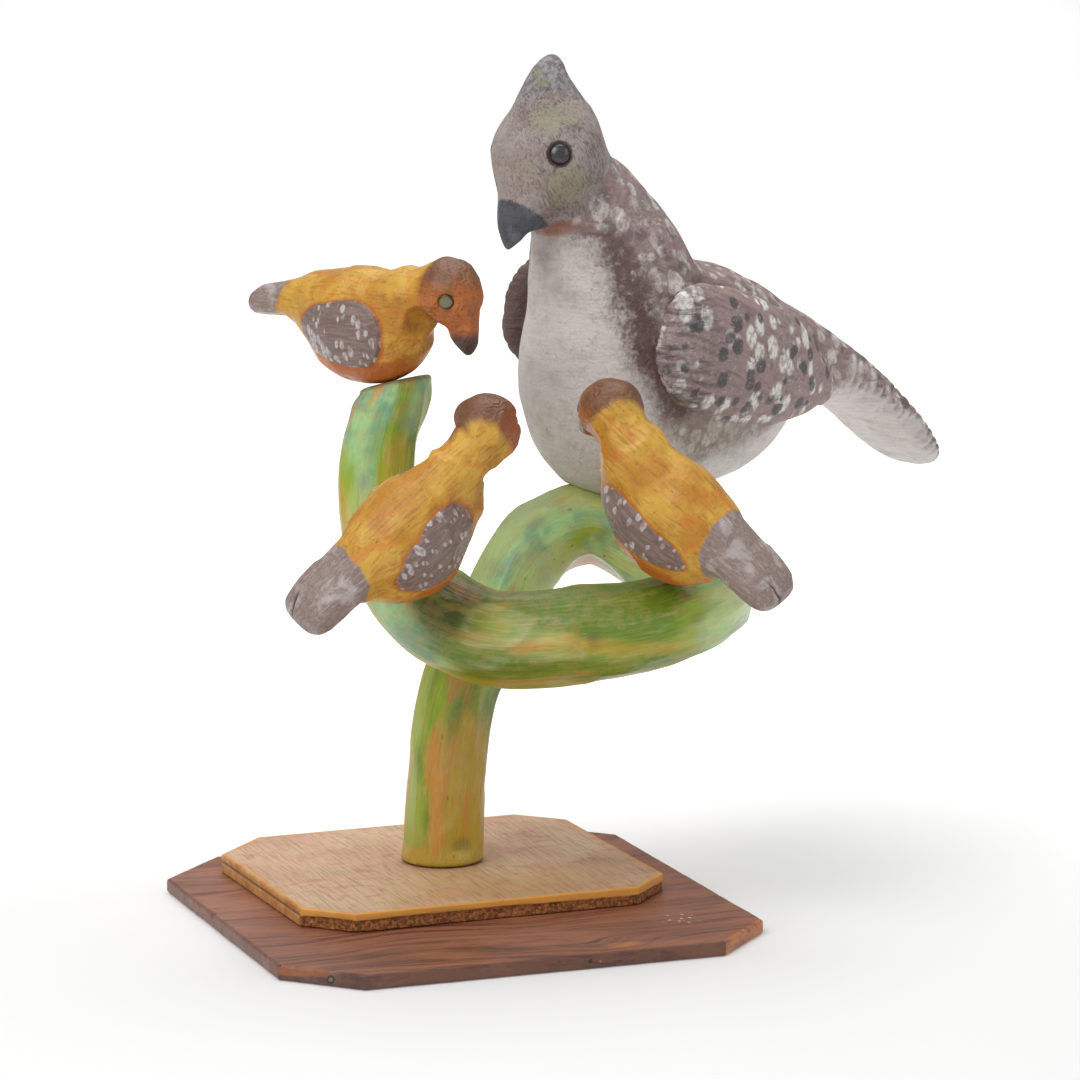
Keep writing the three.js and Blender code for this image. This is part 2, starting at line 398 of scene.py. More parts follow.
class Flow:
    """A socket that gives a number, a place or a colour, on the bench that it was made on."""

    def __init__(self, bench: "Bench", socket: bpy.types.NodeSocket) -> None:
        """Keeps the bench and the socket."""
        self.bench, self.socket = bench, socket

    __add__, __sub__, __mul__, __truediv__ = map(sum_of, ("ADD", "SUBTRACT", "MULTIPLY", "DIVIDE"))
    __radd__, __rsub__, __rtruediv__ = (sum_of(name, True) for name in ("ADD", "SUBTRACT", "DIVIDE"))

    def at(self, low: float, high: float, start: float = 0.0, end: float = 1.0) -> "Flow":
        """Maps a number from low..high to start..end with soft ends."""
        sockets = {"Value": self, "From Min": low, "From Max": high, "To Min": start, "To Max": end}
        return self.bench.node("MapRange", sockets, interpolation_type="SMOOTHSTEP")[0]

    def lay(self, *layers: tuple[object, object]) -> "Flow":
        """Lays colours over this one.

        Args:
            *layers: Each colour with its share from 0 to 1.

        Returns:
            The colour on top.
        """
        coat = self
        for colour, share in layers:
            coat = self.bench.mix(share, coat, colour)
        return coat

    def scaled(self, *scale: float) -> "Flow":
        """Stretches a pattern's coordinates."""
        return self.bench.node("Mapping", {"Vector": self, "Scale": scale})[0]

    def turned(self, degrees: float) -> "Flow":
        """Turns a pattern's coordinates about the second axis."""
        turn = (0, math.radians(degrees), 0)
        return self.bench.node("Mapping", {"Vector": self, "Rotation": turn})[0]

    def moved(self, *shift: float) -> "Flow":
        """Moves a pattern's coordinates."""
        return self.bench.node("VectorMath", {0: self, 1: shift}, operation="ADD")[0]

    def noise(self, scale: object, detail: float = 4.0, rough: float = 0.55, warp: float = 0.0) -> "Flow":
        """Gives clouds from 0 to 1.

        Args:
            scale: How many clouds there are in one unit.
            detail: How many finer layers are added.
            rough: How strong those layers are.
            warp: How far the clouds are drawn into swirls.

        Returns:
            The clouds.
        """
        names = ("Vector", "Scale", "Detail", "Roughness", "Distortion")
        return self.bench.node("TexNoise", dict(zip(names, (self, scale, detail, rough, warp))))[0]

    def spot(self, centre: Sequence[float], inner: float, outer: float) -> "Flow":
        """Gives 1 nearer to a place than inner and 0 beyond outer."""
        away = self.bench.node("VectorMath", {0: self, 1: centre}, operation="DISTANCE")[1]
        return away.at(outer, inner)


class Effect(Enum):
    """The node groups that several finishes share."""

    STREAKS = "brushed_streaks"
    DABS = "paint_dabs"
    WORN = "worn_edges"
    PITS = "pits"


class Bench:
    """Adds nodes to one node tree and links them as they are made."""

    def __init__(self, tree: bpy.types.NodeTree) -> None:
        """Takes a material's tree or a node group to work in."""
        self.tree = tree

    def feed(self, node: bpy.types.Node, inputs: dict) -> None:
        """Links or sets inputs of a node.

        Args:
            node: The node.
            inputs: Input names or numbers, each with a flow to link or a value to set.
        """
        for key, value in inputs.items():
            if isinstance(value, Flow):
                self.tree.links.new(value.socket, node.inputs[key])
            else:
                node.inputs[key].default_value = value

    def node(self, kind: str, inputs: dict, **settings: object) -> list[Flow]:
        """Adds one node.

        Args:
            kind: The node's type without its "ShaderNode" start.
            inputs: Input names or numbers, each with a flow to link or a value to set.
            **settings: The node's own settings.

        Returns:
            Its outputs.
        """
        node = self.tree.nodes.new("ShaderNode" + kind)
        for name, value in settings.items():
            setattr(node, name, value)
        self.feed(node, inputs)
        return [Flow(self, socket) for socket in node.outputs]

    def effect(self, effect: Effect, vector: Flow, **values: object) -> list[Flow]:
        """Places a shared effect with its own values and gives its outputs."""
        group = bpy.data.node_groups[effect.value]
        return self.node("Group", {"Vector": vector, **values}, node_tree=group)

    def place(self, name: str = "") -> Flow:
        """Gives stored coordinates of the piece, or its object coordinates."""
        if not name:
            return self.node("TexCoord", {})[OBJECT_OUT]
        return self.node("Attribute", {}, attribute_type="GEOMETRY", attribute_name=name)[VECTOR_OUT]

    def level(self, name: str) -> Flow:
        """Gives a stored number of the piece."""
        return self.node("Attribute", {}, attribute_type="GEOMETRY", attribute_name=name)[LEVEL_OUT]

    def math(self, operation: str, one: object, other: object = 0.0, clamp: bool = False) -> Flow:
        """Does one sum on two numbers."""
        return self.node("Math", {0: one, 1: other}, operation=operation, use_clamp=clamp)[0]

    def mix(self, share: object, one: object, other: object) -> Flow:
        """Mixes two colours.

        Args:
            share: How much of the second colour, from 0 to 1.
            one: The first colour.
            other: The second colour.

        Returns:
            The mixed colour.
        """
        colours = (value if isinstance(value, Flow) else (*value, 1) for value in (one, other))
        sockets = {0: share, **dict(zip(COLOUR_IN, colours))}
        return self.node("Mix", sockets, data_type="RGBA", blend_type="MIX")[COLOUR_OUT]


class SharedEffects:
    """Builds the node groups that finishes place with their own values."""

    @staticmethod
    def begin(effect: Effect, outputs: str, **inputs: float) -> tuple[list[Flow], Callable[..., None]]:
        """Starts a group with its named sockets.

        Args:
            effect: Which group it is.
            outputs: The names of its number outputs.
            **inputs: The names and defaults of its number inputs, which follow the vector.

        Returns:
            Its inputs and the function that feeds its outputs.
        """
        tree = bpy.data.node_groups.new(effect.value, "ShaderNodeTree")
        tree.interface.new_socket(name="Vector", in_out="INPUT", socket_type="NodeSocketVector")
        for name, default in inputs.items():
            made = tree.interface.new_socket(name=name, in_out="INPUT", socket_type="NodeSocketFloat")
            made.default_value = default
        for name in outputs.split():
            tree.interface.new_socket(name=name, in_out="OUTPUT", socket_type="NodeSocketFloat")
        entry, leave = (tree.nodes.new("NodeGroup" + end) for end in ("Input", "Output"))
        bench = Bench(tree)

        def close(**results: Flow) -> None:
            """Feeds the group's outputs."""
            bench.feed(leave, results)

        return [Flow(bench, entry.outputs[name]) for name in ("Vector", *inputs)], close

    def streaks(self) -> None:
        """Brush or grain streaks along the third axis: a mask and a height."""
        given, close = self.begin(
            Effect.STREAKS, "Mask Height", Width=0.002, Length=0.03, Cover=0.5, Softness=0.15
        )
        vector, width, run, cover, softness = given
        bench = vector.bench
        x, y, z = bench.node("SeparateXYZ", {0: vector})
        stretched = bench.node("CombineXYZ", {0: x / width, 1: y / width, 2: z / run})[0]
        cloud = stretched.noise(1.0, 5.0, 0.6, 0.4)
        gap = (1.0 - cloud) - (cover - softness)
        filled = bench.math("DIVIDE", gap, softness * 2.0, clamp=True)
        close(Mask=bench.math("SUBTRACT", 1.0, filled, clamp=True), Height=cloud)

    def dabs(self) -> None:
        """Single touches of a loaded brush, scattered with gaps: a mask and a height."""
        given, close = self.begin(
            Effect.DABS, "Mask Height", Spacing=0.014, Size=0.3, Share=0.6, Ragged=0.25
        )
        vector, spacing, size, share, ragged = given
        bench = vector.bench
        fine, tint = bench.node("TexNoise", {"Vector": vector, "Scale": 260.0, "Detail": 4.0})
        shift = bench.node("VectorMath", {0: tint, 1: (0.5, 0.5, 0.5)}, operation="SUBTRACT")[0]
        pull = {0: shift, "Scale": ragged * spacing}
        drawn = bench.node("VectorMath", pull, operation="SCALE")[0]
        place = bench.node("VectorMath", {0: vector, 1: drawn}, operation="ADD")[0]
        cell = {"Vector": place, "Scale": 1.0 / spacing, "Randomness": 0.85}
        away, colour = bench.node("TexVoronoi", cell)[:2]
        picked, grown = bench.node("SeparateColor", {0: colour})[:2]
        kept = bench.math("LESS_THAN", picked, share)
        inside = size * (0.55 + grown) - away
        mask = bench.math("DIVIDE", inside, size * 0.35, clamp=True) * kept
        close(Mask=mask * fine.at(0.36, 0.56, 0.35, 1.0), Height=mask)

    def worn(self) -> None:
        """Paint rubbed off what stands proud, in broken patches: a mask."""
        given, close = self.begin(Effect.WORN, "Mask", Proud=0.0, Amount=0.5, Patch=60.0)
        vector, proud, amount, patch = given
        close(Mask=(proud * amount + vector.noise(patch, 5.0, 0.7)).at(0.72, 0.85))

    def pits(self) -> None:
        """Small dark pores and nicks: a mask."""
        given, close = self.begin(Effect.PITS, "Mask", Spacing=0.006, Size=0.12, Share=0.4)
        vector, spacing, size, share = given
        bench = vector.bench
        away, colour = bench.node("TexVoronoi", {"Vector": vector, "Scale": 1.0 / spacing})[:2]
        kept = bench.math("LESS_THAN", bench.node("SeparateColor", {0: colour})[0], share)
        close(Mask=bench.math("DIVIDE", size - away, size * 0.5, clamp=True) * kept)


def srgb(red: int, green: int, blue: int) -> Colour:
    """Turns a screen colour from 0 to 255 into the linear colour that shaders take."""
    parts = (value / 255 for value in (red, green, blue))
    return tuple(v / 12.92 if v <= 0.04045 else ((v + 0.055) / 1.055) ** 2.4 for v in parts)


# Finishes

Dressing = tuple[dict[str, object], list[tuple[Flow, float]]]


@dataclass(frozen=True)
class Finish:
    """A finish: its name, its plain roughness and the weight of its clear coat."""

    name: str
    rough: float
    gloss: float

    @cache
    def material(self) -> bpy.types.Material:
        """Gives the finish's material, which is built the first time.

        Returns:
            The material.
        """
        material = bpy.data.materials.new(self.name)
        material.use_nodes = True
        bench = Bench(material.node_tree)
        shader = next(node for node in bench.tree.nodes if node.type == "BSDF_PRINCIPLED")
        plain = {"Roughness": self.rough, "Coat Weight": self.gloss, "Coat Roughness": 0.25}
        sockets, heights = self.paint(bench)
        bumped = {}
        for height, depth in heights:
            bump = {"Height": height, "Distance": depth, "Strength": 1.0, **bumped}
            bumped = {"Normal": bench.node("Bump", bump)[0]}
        bench.feed(shader, plain | sockets | bumped)
        return material

    def paint(self, bench: Bench) -> Dressing:
        """Lays the nodes that lead the finish.

        Args:
            bench: The bench of the material's tree.

        Returns:
            The shader's inputs, and the heights of its relief with their depths in metres.
        """
        raise NotImplementedError


@dataclass(frozen=True)
class HenPaint(Finish):
    """The hen's plumage: mauve brown with cream and slate dabs, a pale breast and a slate bill."""

    name: str = "hen_plumage"
    rough: float = 0.62
    gloss: float = 0.0
    brown: Colour = srgb(166, 142, 138)
    shade: Colour = srgb(134, 112, 108)
    bloom: Colour = srgb(182, 168, 164)
    pale: Colour = srgb(222, 215, 212)
    pale_shade: Colour = srgb(192, 183, 181)
    warm: Colour = srgb(206, 190, 180)
    cream: Colour = srgb(240, 236, 229)
    slate: Colour = srgb(70, 66, 72)
    frost: Colour = srgb(206, 204, 210)
    # the colour of the painted shade beside the breast and on the far wing's front
    beside: Colour = srgb(96, 72, 66)
    flank: Colour = srgb(160, 145, 130)
    head: Colour = srgb(176, 162, 158)
    head_shade: Colour = srgb(132, 113, 109)
    olive: Colour = srgb(174, 168, 132)
    comb: Colour = srgb(172, 170, 170)
    bill: Colour = srgb(86, 88, 96)
    bill_light: Colour = srgb(134, 137, 146)
    bill_shade: Colour = srgb(130, 124, 126)
    rust: Colour = srgb(172, 110, 84)
    socket: Colour = srgb(84, 62, 56)

    def paint(self, bench: Bench) -> Dressing:
        """Layers the back and wings, the breast, the head, the crest and the bill.

        Args:
            bench: The bench of the material's tree.

        Returns:
            The shader's inputs, and the heights of its relief with their depths in metres.
        """
        own, level = bench.place("own"), bench.level
        fine, soft, cloud = own.noise(700.0, 3.0, 0.7), own.noise(230.0, 4.0, 0.65), own.noise(60.0, 5.0, 0.6)
        brushed = bench.effect(Effect.STREAKS, own.turned(-68), Width=0.003, Length=0.018)[1]
        flecks = bench.effect(Effect.DABS, own, Spacing=0.0095, Size=0.42, Share=0.5, Ragged=0.55)[0]
        slate = bench.effect(Effect.DABS, own.scaled(1, 1, 1.05), Spacing=0.0125, Size=0.4, Share=0.62)[1]
        shifted = own.moved(0.031, 0.017, 0.043).scaled(1.15, 1, 0.86)
        cream, thick = bench.effect(Effect.DABS, shifted, Spacing=0.0128, Size=0.46, Share=0.85, Ragged=0.34)
        dry = own.scaled(300, 300, 520).noise(1.0, 3.0, 0.6, 0.5).at(0.56, 0.68, 0.0, 0.6)
        fan = own.scaled(40, 40, 420).noise(1.0, 3.0, 0.6, 0.4)
        flecked, dabbed, carved = level("flecked"), level("dabbed"), level("carved")
        pale, skull = level("pale"), level("skull")
        coat = bench.mix(brushed.at(0.3, 0.6), self.shade, self.brown).lay(
            (self.bloom, cloud.at(0.5, 0.72, 0.0, 0.45)),
            (self.flank, level("flank") * soft.at(0.3, 0.6, 0.4, 0.9)),
            (self.bloom, flecked * soft.at(0.5, 0.68, 0.0, 0.6)),
            (self.shade, flecked * soft.at(0.56, 0.34, 0.15, 0.75)),
            (self.cream, flecks * flecked * 0.55),
            (self.cream, cream * dabbed * 0.95),
            (self.slate, slate * soft.at(0.25, 0.5, 0.5, 1.0) * dabbed * 0.85),
            (self.frost, dry * cloud.at(0.4, 0.62) * bench.math("MAXIMUM", dabbed, flecked)),
            (self.frost, level("ridged") * soft.at(0.44, 0.6, 0.0, 0.7)),
            (self.slate, carved * fan.at(0.46, 0.4) * 0.6),
            (self.slate, level("grooved") * soft.at(0.3, 0.55, 0.3, 0.95)),
            # painted shade: the hollows, such as those under the wings, are darkened
            (self.shade, level("hollow") * 0.6),
        )
        ragged = (cloud - 0.5) * 1.6 + (soft - 0.5) * 1.6 + (fine - 0.5) * 0.5
        rings = bench.effect(Effect.STREAKS, own.turned(90), Width=0.0016, Length=0.03)[1]
        across = own.scaled(45, 45, 480).noise(1.0, 3.0, 0.6, 0.5)
        breast = bench.mix(across.at(0.45, 0.7, 0.0, 0.4), self.pale, self.pale_shade).lay(
            (self.pale_shade, cloud.at(0.46, 0.66, 0.0, 0.5)),
            (self.warm, soft.at(0.55, 0.72, 0.0, 0.35)),
        )
        fur = bench.effect(Effect.STREAKS, own.turned(-35), Width=0.0014, Length=0.0055)[1]
        stipple = bench.mix(fur.at(0.34, 0.56), self.head_shade, self.head).lay(
            (self.pale_shade, cloud.at(0.46, 0.66, 0.0, 0.6)),
            (self.shade, cloud.at(0.46, 0.34, 0.0, 0.6)),
            (self.socket, soft.at(0.42, 0.32, 0.0, 0.6)),
            (self.warm, level("flush").at(0.1, 1.0, 0.0, 0.35)),
            (self.olive, level("olive") * fur.at(0.35, 0.6, 0.2, 0.85)),
        )
        crest = bench.mix(soft.at(0.44, 0.58), self.bill_shade, self.comb)
        horn = bench.mix(cloud.at(0.46, 0.66, 0.0, 0.6), self.bill, self.bill_light)
        coat = coat.lay(
            # painted shade: a dark band beside the breast, and the far wing's front
            (self.beside, (level("beside") + ragged).at(0.0, 0.8, 0.0, 0.9)),
            (breast, (pale + ragged).at(-0.6, 0.6)),
            (stipple, skull.at(0.15, 0.85)),
            (
                crest.lay((self.olive, cloud.at(0.54, 0.66, 0.0, 0.6))),
                (level("comb") + (cloud - 0.5) * 2.4).at(0.2, 0.9),
            ),
            (self.rust, level("rust") * cloud.at(0.3, 0.6, 0.3, 0.9)),
            (horn, (level("bill") + (soft - 0.5) * 1.2).at(0.2, 0.8)),
            (self.socket, (level("lid") + (fine - 0.5) * 1.2).at(0.3, 0.8, 0.0, 0.9)),
        )
        return {"Base Color": coat, "Roughness": brushed.at(0.3, 0.7, 0.52, 0.7)}, [
            (brushed, 0.0007),
            (fur * skull, 0.0026),
            (fan * carved, 0.0016),
            (rings * pale.at(-0.5, 0.5), 0.0007),
            (soft, 0.0018),
            (thick, 0.0004),
            (fine, 0.0006),
        ]


@dataclass(frozen=True)
class ChickPaint(Finish):
    """A chick's paint: golden ochre, a rust head, a taupe tail and a mauve wing patch with dabs."""

    name: str = "chick_plumage"
    rough: float = 0.42
    gloss: float = 0.12
    ochre: Colour = srgb(192, 132, 26)
    gold: Colour = srgb(216, 168, 62)
    burnt: Colour = srgb(152, 92, 32)
    amber: Colour = srgb(206, 112, 20)
    belly: Colour = srgb(188, 90, 12)
    rust: Colour = srgb(104, 60, 40)
    rust_red: Colour = srgb(182, 98, 36)
    brick: Colour = srgb(158, 70, 42)
    taupe: Colour = srgb(144, 124, 114)
    mauve: Colour = srgb(120, 97, 91)
    dab: Colour = srgb(214, 206, 206)
    crack: Colour = srgb(58, 38, 26)
    beak: Colour = srgb(80, 56, 48)

    def paint(self, bench: Bench) -> Dressing:
        """Layers the body, the head, the tail, the wing patches and the beak.

        Args:
            bench: The bench of the material's tree.

        Returns:
            The shader's inputs, and the heights of its relief with their depths in metres.
        """
        own, level = bench.place("own"), bench.level
        fine, cloud, broad = own.noise(650.0, 3.0, 0.7), own.noise(75.0, 5.0, 0.6), own.noise(32.0, 3.0, 0.5)
        lengthwise = own.turned(90)
        strokes = bench.effect(Effect.STREAKS, lengthwise, Width=0.0022, Length=0.02)[1]
        scratches = bench.effect(Effect.STREAKS, lengthwise, Width=0.0007, Length=0.006, Cover=0.3)[0]
        dry = bench.effect(Effect.STREAKS, lengthwise, Width=0.0013, Length=0.012, Cover=0.36)[0]
        sparse = own.scaled(1.5, 1, 0.8)
        dabs, thick = bench.effect(Effect.DABS, sparse, Spacing=0.0066, Size=0.4, Share=0.8, Ragged=0.45)
        pits = bench.effect(Effect.PITS, own.scaled(0.5, 1, 1), Spacing=0.005, Share=0.35)[0]
        edge = cloud - 0.5
        rust = bench.mix((edge + level("face")).at(-0.1, 0.9), self.rust, self.rust_red).lay(
            (self.beak, strokes.at(0.5, 0.34, 0.0, 0.5)),
            (self.brick, level("shaved") * 0.7),
        )
        head = (level("rust") + edge).at(0.2, 0.8)
        swirl = bench.math("SINE", own.noise(60.0, 2.0, 0.5) * 60.0)
        swirled = swirl * (head * broad.at(0.4, 0.6))
        taupe = bench.mix(fine.at(0.4, 0.65, 0.0, 0.5), self.taupe, self.mauve).lay(
            (self.dab, dry * 0.5),
            (self.dab, own.noise(52.0, 3.0, 0.6, 0.4).at(0.52, 0.66, 0.0, 0.4)),
        )
        feather = bench.mix(strokes.at(0.4, 0.65), self.mauve, self.taupe).lay((self.dab, dabs * 0.75))
        patch = level("patch")
        coat = bench.mix(broad.at(0.38, 0.62), self.ochre, self.gold).lay(
            (self.burnt, strokes.at(0.5, 0.34, 0.0, 0.55)),
            (self.amber, cloud.at(0.48, 0.36, 0.0, 0.5)),
            (self.burnt, scratches * 0.5),
            # painted shade: the hollows are darkened with burnt orange
            (self.burnt, level("hollow") * 0.45),
            (self.belly, (level("under") + (cloud - 0.5) * 2.0).at(0.15, 0.9, 0.0, 0.9)),
            (rust, head * 0.92),
            (self.burnt, swirled.at(0.6, 1.0, 0.0, 0.2)),
            (taupe, (level("tail") + edge).at(0.35, 0.65)),
            (self.belly, patch.at(0.1, 0.45, 0.0, 0.75)),
            (feather, (patch + edge * 0.35).at(0.42, 0.58)),
            (self.beak, level("beak")),
            (self.crack, pits * 0.6),
            (self.crack, level("crack")),
        )
        heights = [(strokes, 0.0006), (swirled, 0.0002), (cloud, 0.0013), (fine, 0.0006), (thick, 0.0002)]
        return {"Base Color": coat, "Roughness": cloud.at(0.35, 0.65, 0.34, 0.52)}, heights


@dataclass(frozen=True)
class BranchPaint(Finish):
    """The branch's paint: lime green over ochre, with turquoise and orange streaks along it."""

    name: str = "branch_paint"
    rough: float = 0.36
    gloss: float = 0.3
    ochre: Colour = srgb(196, 160, 34)
    lime: Colour = srgb(152, 180, 16)
    grass: Colour = srgb(96, 132, 14)
    aqua: Colour = srgb(166, 214, 146)
    blue: Colour = srgb(120, 174, 140)
    orange: Colour = srgb(210, 138, 48)
    shadow_and_dark_paint: Colour = srgb(70, 78, 38)
    painted_highlight: Colour = srgb(212, 218, 142)
    bare: Colour = srgb(208, 166, 112)
    grime_and_shade: Colour = srgb(92, 74, 40)
    cap: Colour = srgb(136, 104, 60)

    def paint(self, bench: Bench) -> Dressing:
        """Layers soft patches led by marks, then strokes, painted light and shade, wear and dirt.

        Args:
            bench: The bench of the material's tree.

        Returns:
            The shader's inputs, and the heights of its relief with their depths in metres.
        """
        straight, level = bench.place("straight"), bench.level
        height = bench.effect(Effect.STREAKS, straight, Width=0.004, Length=0.045)[1]
        fine = straight.noise(600.0, 3.0, 0.7)
        brushed = (height - 0.5) * 0.16

        def patches(shift: Place, scale: Place, mark: str) -> Flow:
            """Gives brushed patches along the branch, moved apart by a shift and led by a mark."""
            return straight.moved(*shift).scaled(*scale).noise(1.0, 2.5, 0.45, 0.5) + brushed + level(mark)

        def strokes(place: Flow, width: float, run: float, cover: float) -> list[Flow]:
            """Gives single strokes along the branch."""
            return bench.effect(Effect.STREAKS, place, Width=width, Length=run, Cover=cover)

        deep = patches((0.4, 0.7, 0.2), (30, 30, 11), "deep")
        warm = patches((0.2, 0.3, 0.8), (55, 55, 17), "warm")
        tint = bench.mix(straight.noise(45.0).at(0.4, 0.6), self.aqua, self.blue)
        nicks = strokes(straight, 0.0009, 0.009, 0.3)
        worn = bench.effect(Effect.WORN, straight, Proud=level("proud"), Amount=0.3, Patch=150.0)[0]
        pits = bench.effect(Effect.PITS, straight.scaled(1, 1, 0.4), Spacing=0.007, Share=0.25)[0]
        coat = bench.mix(deep.at(0.42, 0.66), self.lime, self.grass).lay(
            (self.ochre, patches((0, 0, 0), (28, 28, 10), "ochre").at(0.48, 0.66, 0.0, 0.9)),
            (tint, patches((0.4, 0.7, 0.2), (26, 26, 11), "cool").at(0.46, 0.62, 0.0, 0.9)),
            # painted highlights: pale lime patches, strongest along the arch's top
            (self.painted_highlight, patches((0.9, 0.1, 0.6), (34, 34, 15), "painted_highlight").at(0.54, 0.72, 0.0, 0.5)),
            (self.orange, warm.at(0.58, 0.68, 0.0, 0.8)),
            (self.orange, strokes(straight, 0.0022, 0.016, 0.33)[0] * 0.4),
            # painted highlights: short light strokes
            (self.painted_highlight, strokes(straight.moved(0.3, 0.3, 0.3), 0.0016, 0.02, 0.34)[0] * 0.35),
            # painted shadow with darker paint on the sweep, under the left chick
            (self.shadow_and_dark_paint, level("shadow_and_dark_paint") * height.at(0.3, 0.6, 0.5, 1.0)),
            # painted highlight on the shaved facet
            (self.painted_highlight, level("shaved") * height.at(0.4, 0.62, 0.1, 0.6)),
            (self.shadow_and_dark_paint, nicks[0] * 0.4),
            (self.bare, worn * 0.2),
            # dirt and painted shade darken the hollows
            (self.grime_and_shade, level("hollow") * 0.4),
            (self.grime_and_shade, pits * 0.6),
            (self.cap, level("rim") * fine.at(0.3, 0.6, 0.5, 1.0)),
            (self.grime_and_shade, level("foot")),
        )
        heights = [(height, 0.0010), (warm, 0.0010), (nicks[1], 0.0004), (fine, 0.00025)]
        return {"Base Color": coat, "Roughness": height.at(0.3, 0.7, 0.3, 0.46)}, heights


@dataclass(frozen=True)
class PlankStain(Finish):
    """The lower board's dark stain, dusty at the left, with raw wood where its corners chipped."""

    name: str = "plank_stain"
    rough: float = 0.5
    gloss: float = 0.1
    stain: Colour = srgb(150, 92, 66)
    dark: Colour = srgb(96, 54, 40)
    red: Colour = srgb(174, 112, 82)
    dusty: Colour = srgb(170, 142, 128)
    raw: Colour = srgb(150, 86, 52)
    tan: Colour = srgb(192, 120, 62)
    black: Colour = srgb(52, 42, 40)
    speck: Colour = srgb(206, 214, 212)
    nail: Colour = srgb(112, 100, 94)
    nail_place: Place = (-0.1392, -0.1518, 0.0045)

    def paint(self, bench: Bench) -> Dressing:
        """Layers the swirling grain, the stains and chips, the specks, a smear and a nail head.

        Args:
            bench: The bench of the material's tree.

        Returns:
            The shader's inputs, and the heights of its relief with their depths in metres.
        """
        place, level = bench.place(), bench.level
        x, y, z = bench.node("SeparateXYZ", {0: place})
        bend = place.scaled(5, 12, 12).noise(1.0, 2.0, 0.5)
        swirled = bench.node("CombineXYZ", {0: x, 1: y + bend * 0.09, 2: z})[0]
        grain = swirled.scaled(5, 210, 160).noise(1.0, 5.0, 0.62, 0.3)
        cloud = place.scaled(12, 30, 30).noise(1.0, 4.0, 0.6)
        fine = place.scaled(120, 900, 900).noise(1.0, 2.0, 0.6)
        lines = swirled.scaled(7, 620, 400).noise(1.0, 3.0, 0.65)
        specks = bench.effect(Effect.PITS, place, Spacing=0.005, Size=0.3, Share=0.5)[0]
        strewn = bench.effect(Effect.PITS, place, Spacing=0.024, Size=0.045, Share=0.6)[0]
        pits = bench.effect(Effect.PITS, place.scaled(0.35, 1, 1), Spacing=0.008, Share=0.3)[0]
        smear = place.scaled(0.5, 1, 1).spot((0.0285, -0.153, 0.0095), 0.003, 0.009)
        tan = bench.mix(grain.at(0.4, 0.6), self.raw, self.tan)
        coat = bench.mix(grain.at(0.36, 0.56), self.dark, self.stain).lay(
            (self.red, cloud.at(0.42, 0.66, 0.0, 0.6)),
            (self.dusty, (x.at(-0.04, -0.17) + (cloud - 0.5)).at(0.4, 1.2, 0.0, 0.22)),
            (self.black, lines.at(0.44, 0.34, 0.0, 0.6)),
            (self.black, level("blackened") * grain.at(0.2, 0.6)),
            (tan, level("tan") * cloud.at(0.2, 0.45, 0.5, 1.0)),
            (self.raw, level("raw")),
            (self.speck, specks * place.spot((0.115, -0.103, 0.0095), 0.008, 0.018)),
            (self.tan, strewn * 0.7),
            (self.tan, smear * grain.at(0.4, 0.6, 0.2, 1.0)),
            (self.black, pits * 0.5),
            (self.black, place.spot((0.0276, -0.169, 0.005), 0.0013, 0.0019)),
            (self.black, place.spot(self.nail_place, 0.0023, 0.0032)),
            (self.nail, place.spot(self.nail_place, 0.0012, 0.002)),
        )
        sockets = {"Base Color": coat, "Roughness": grain.at(0.35, 0.65, 0.42, 0.58)}
        return sockets, [(grain, 0.0006), (fine, 0.0001)]


@dataclass(frozen=True)
class PlyWash(Finish):
    """The upper board's pink and tan brushed wash, with ochre plies at its edges."""

    name: str = "ply_wash"
    rough: float = 0.55
    gloss: float = 0.05
    wash: Colour = srgb(216, 182, 152)
    pink: Colour = srgb(208, 164, 138)
    brush: Colour = srgb(168, 122, 92)
    green: Colour = srgb(172, 170, 104)
    ochre: Colour = srgb(208, 160, 94)
    band: Colour = srgb(226, 160, 70)
    fuzz: Colour = srgb(190, 118, 58)
    fuzz_dark: Colour = srgb(104, 62, 30)
    glue: Colour = srgb(96, 62, 28)

    def paint(self, bench: Bench) -> Dressing:
        """Layers the wash, the lip, the walls, the torn plies and the glue line.

        Args:
            bench: The bench of the material's tree.

        Returns:
            The shader's inputs, and the heights of its relief with their depths in metres.
        """
        place, level = bench.place(), bench.level
        fine = place.scaled(620, 34, 620).noise(1.0, 4.0, 0.7)
        cloud = place.scaled(16, 26, 26).noise(1.0, 5.0, 0.6, 0.3)
        broad = place.noise(14.0, 3.0, 0.5)
        sideways = place.scaled(42, 80, 80).noise(1.0, 5.0, 0.65, 0.6)
        ragged = place.noise(420.0, 4.0, 0.75)
        golden = place.scaled(0.6, 1, 1).spot((0.006, -0.02, 0.0222), 0.02, 0.075)
        pits = bench.effect(Effect.PITS, place, Spacing=0.012, Size=0.07, Share=0.4)[0]
        edge = bench.mix(sideways.at(0.35, 0.65), self.fuzz, self.ochre).lay((self.band, level("front")))
        torn = bench.mix(ragged.at(0.38, 0.62), self.fuzz_dark, self.fuzz)
        torn = torn.lay((self.ochre, ragged.at(0.58, 0.75, 0.0, 0.7)))
        coat = bench.mix(broad.at(0.4, 0.62), self.wash, self.pink).lay(
            (self.ochre, golden * broad.at(0.35, 0.6, 0.3, 0.7)),
            (self.brush, cloud.at(0.5, 0.75, 0.0, 0.35)),
            (self.brush, fine.at(0.46, 0.66, 0.0, 0.65)),
            (self.green, sideways.at(0.52, 0.66, 0.0, 0.55)),
            (self.brush, sideways.at(0.46, 0.34, 0.0, 0.5)),
            (self.band, level("lip") * fine.at(0.3, 0.6, 0.4, 1.0)),
            (edge, level("wall")),
            (torn, level("fuzzy")),
            (self.glue, level("glue") * 0.7),
            (self.glue, pits * 0.7),
        )
        sockets = {"Base Color": coat, "Roughness": fine.at(0.35, 0.65, 0.5, 0.64)}
        return sockets, [(fine, 0.00025), (ragged * level("fuzzy"), 0.0016)]


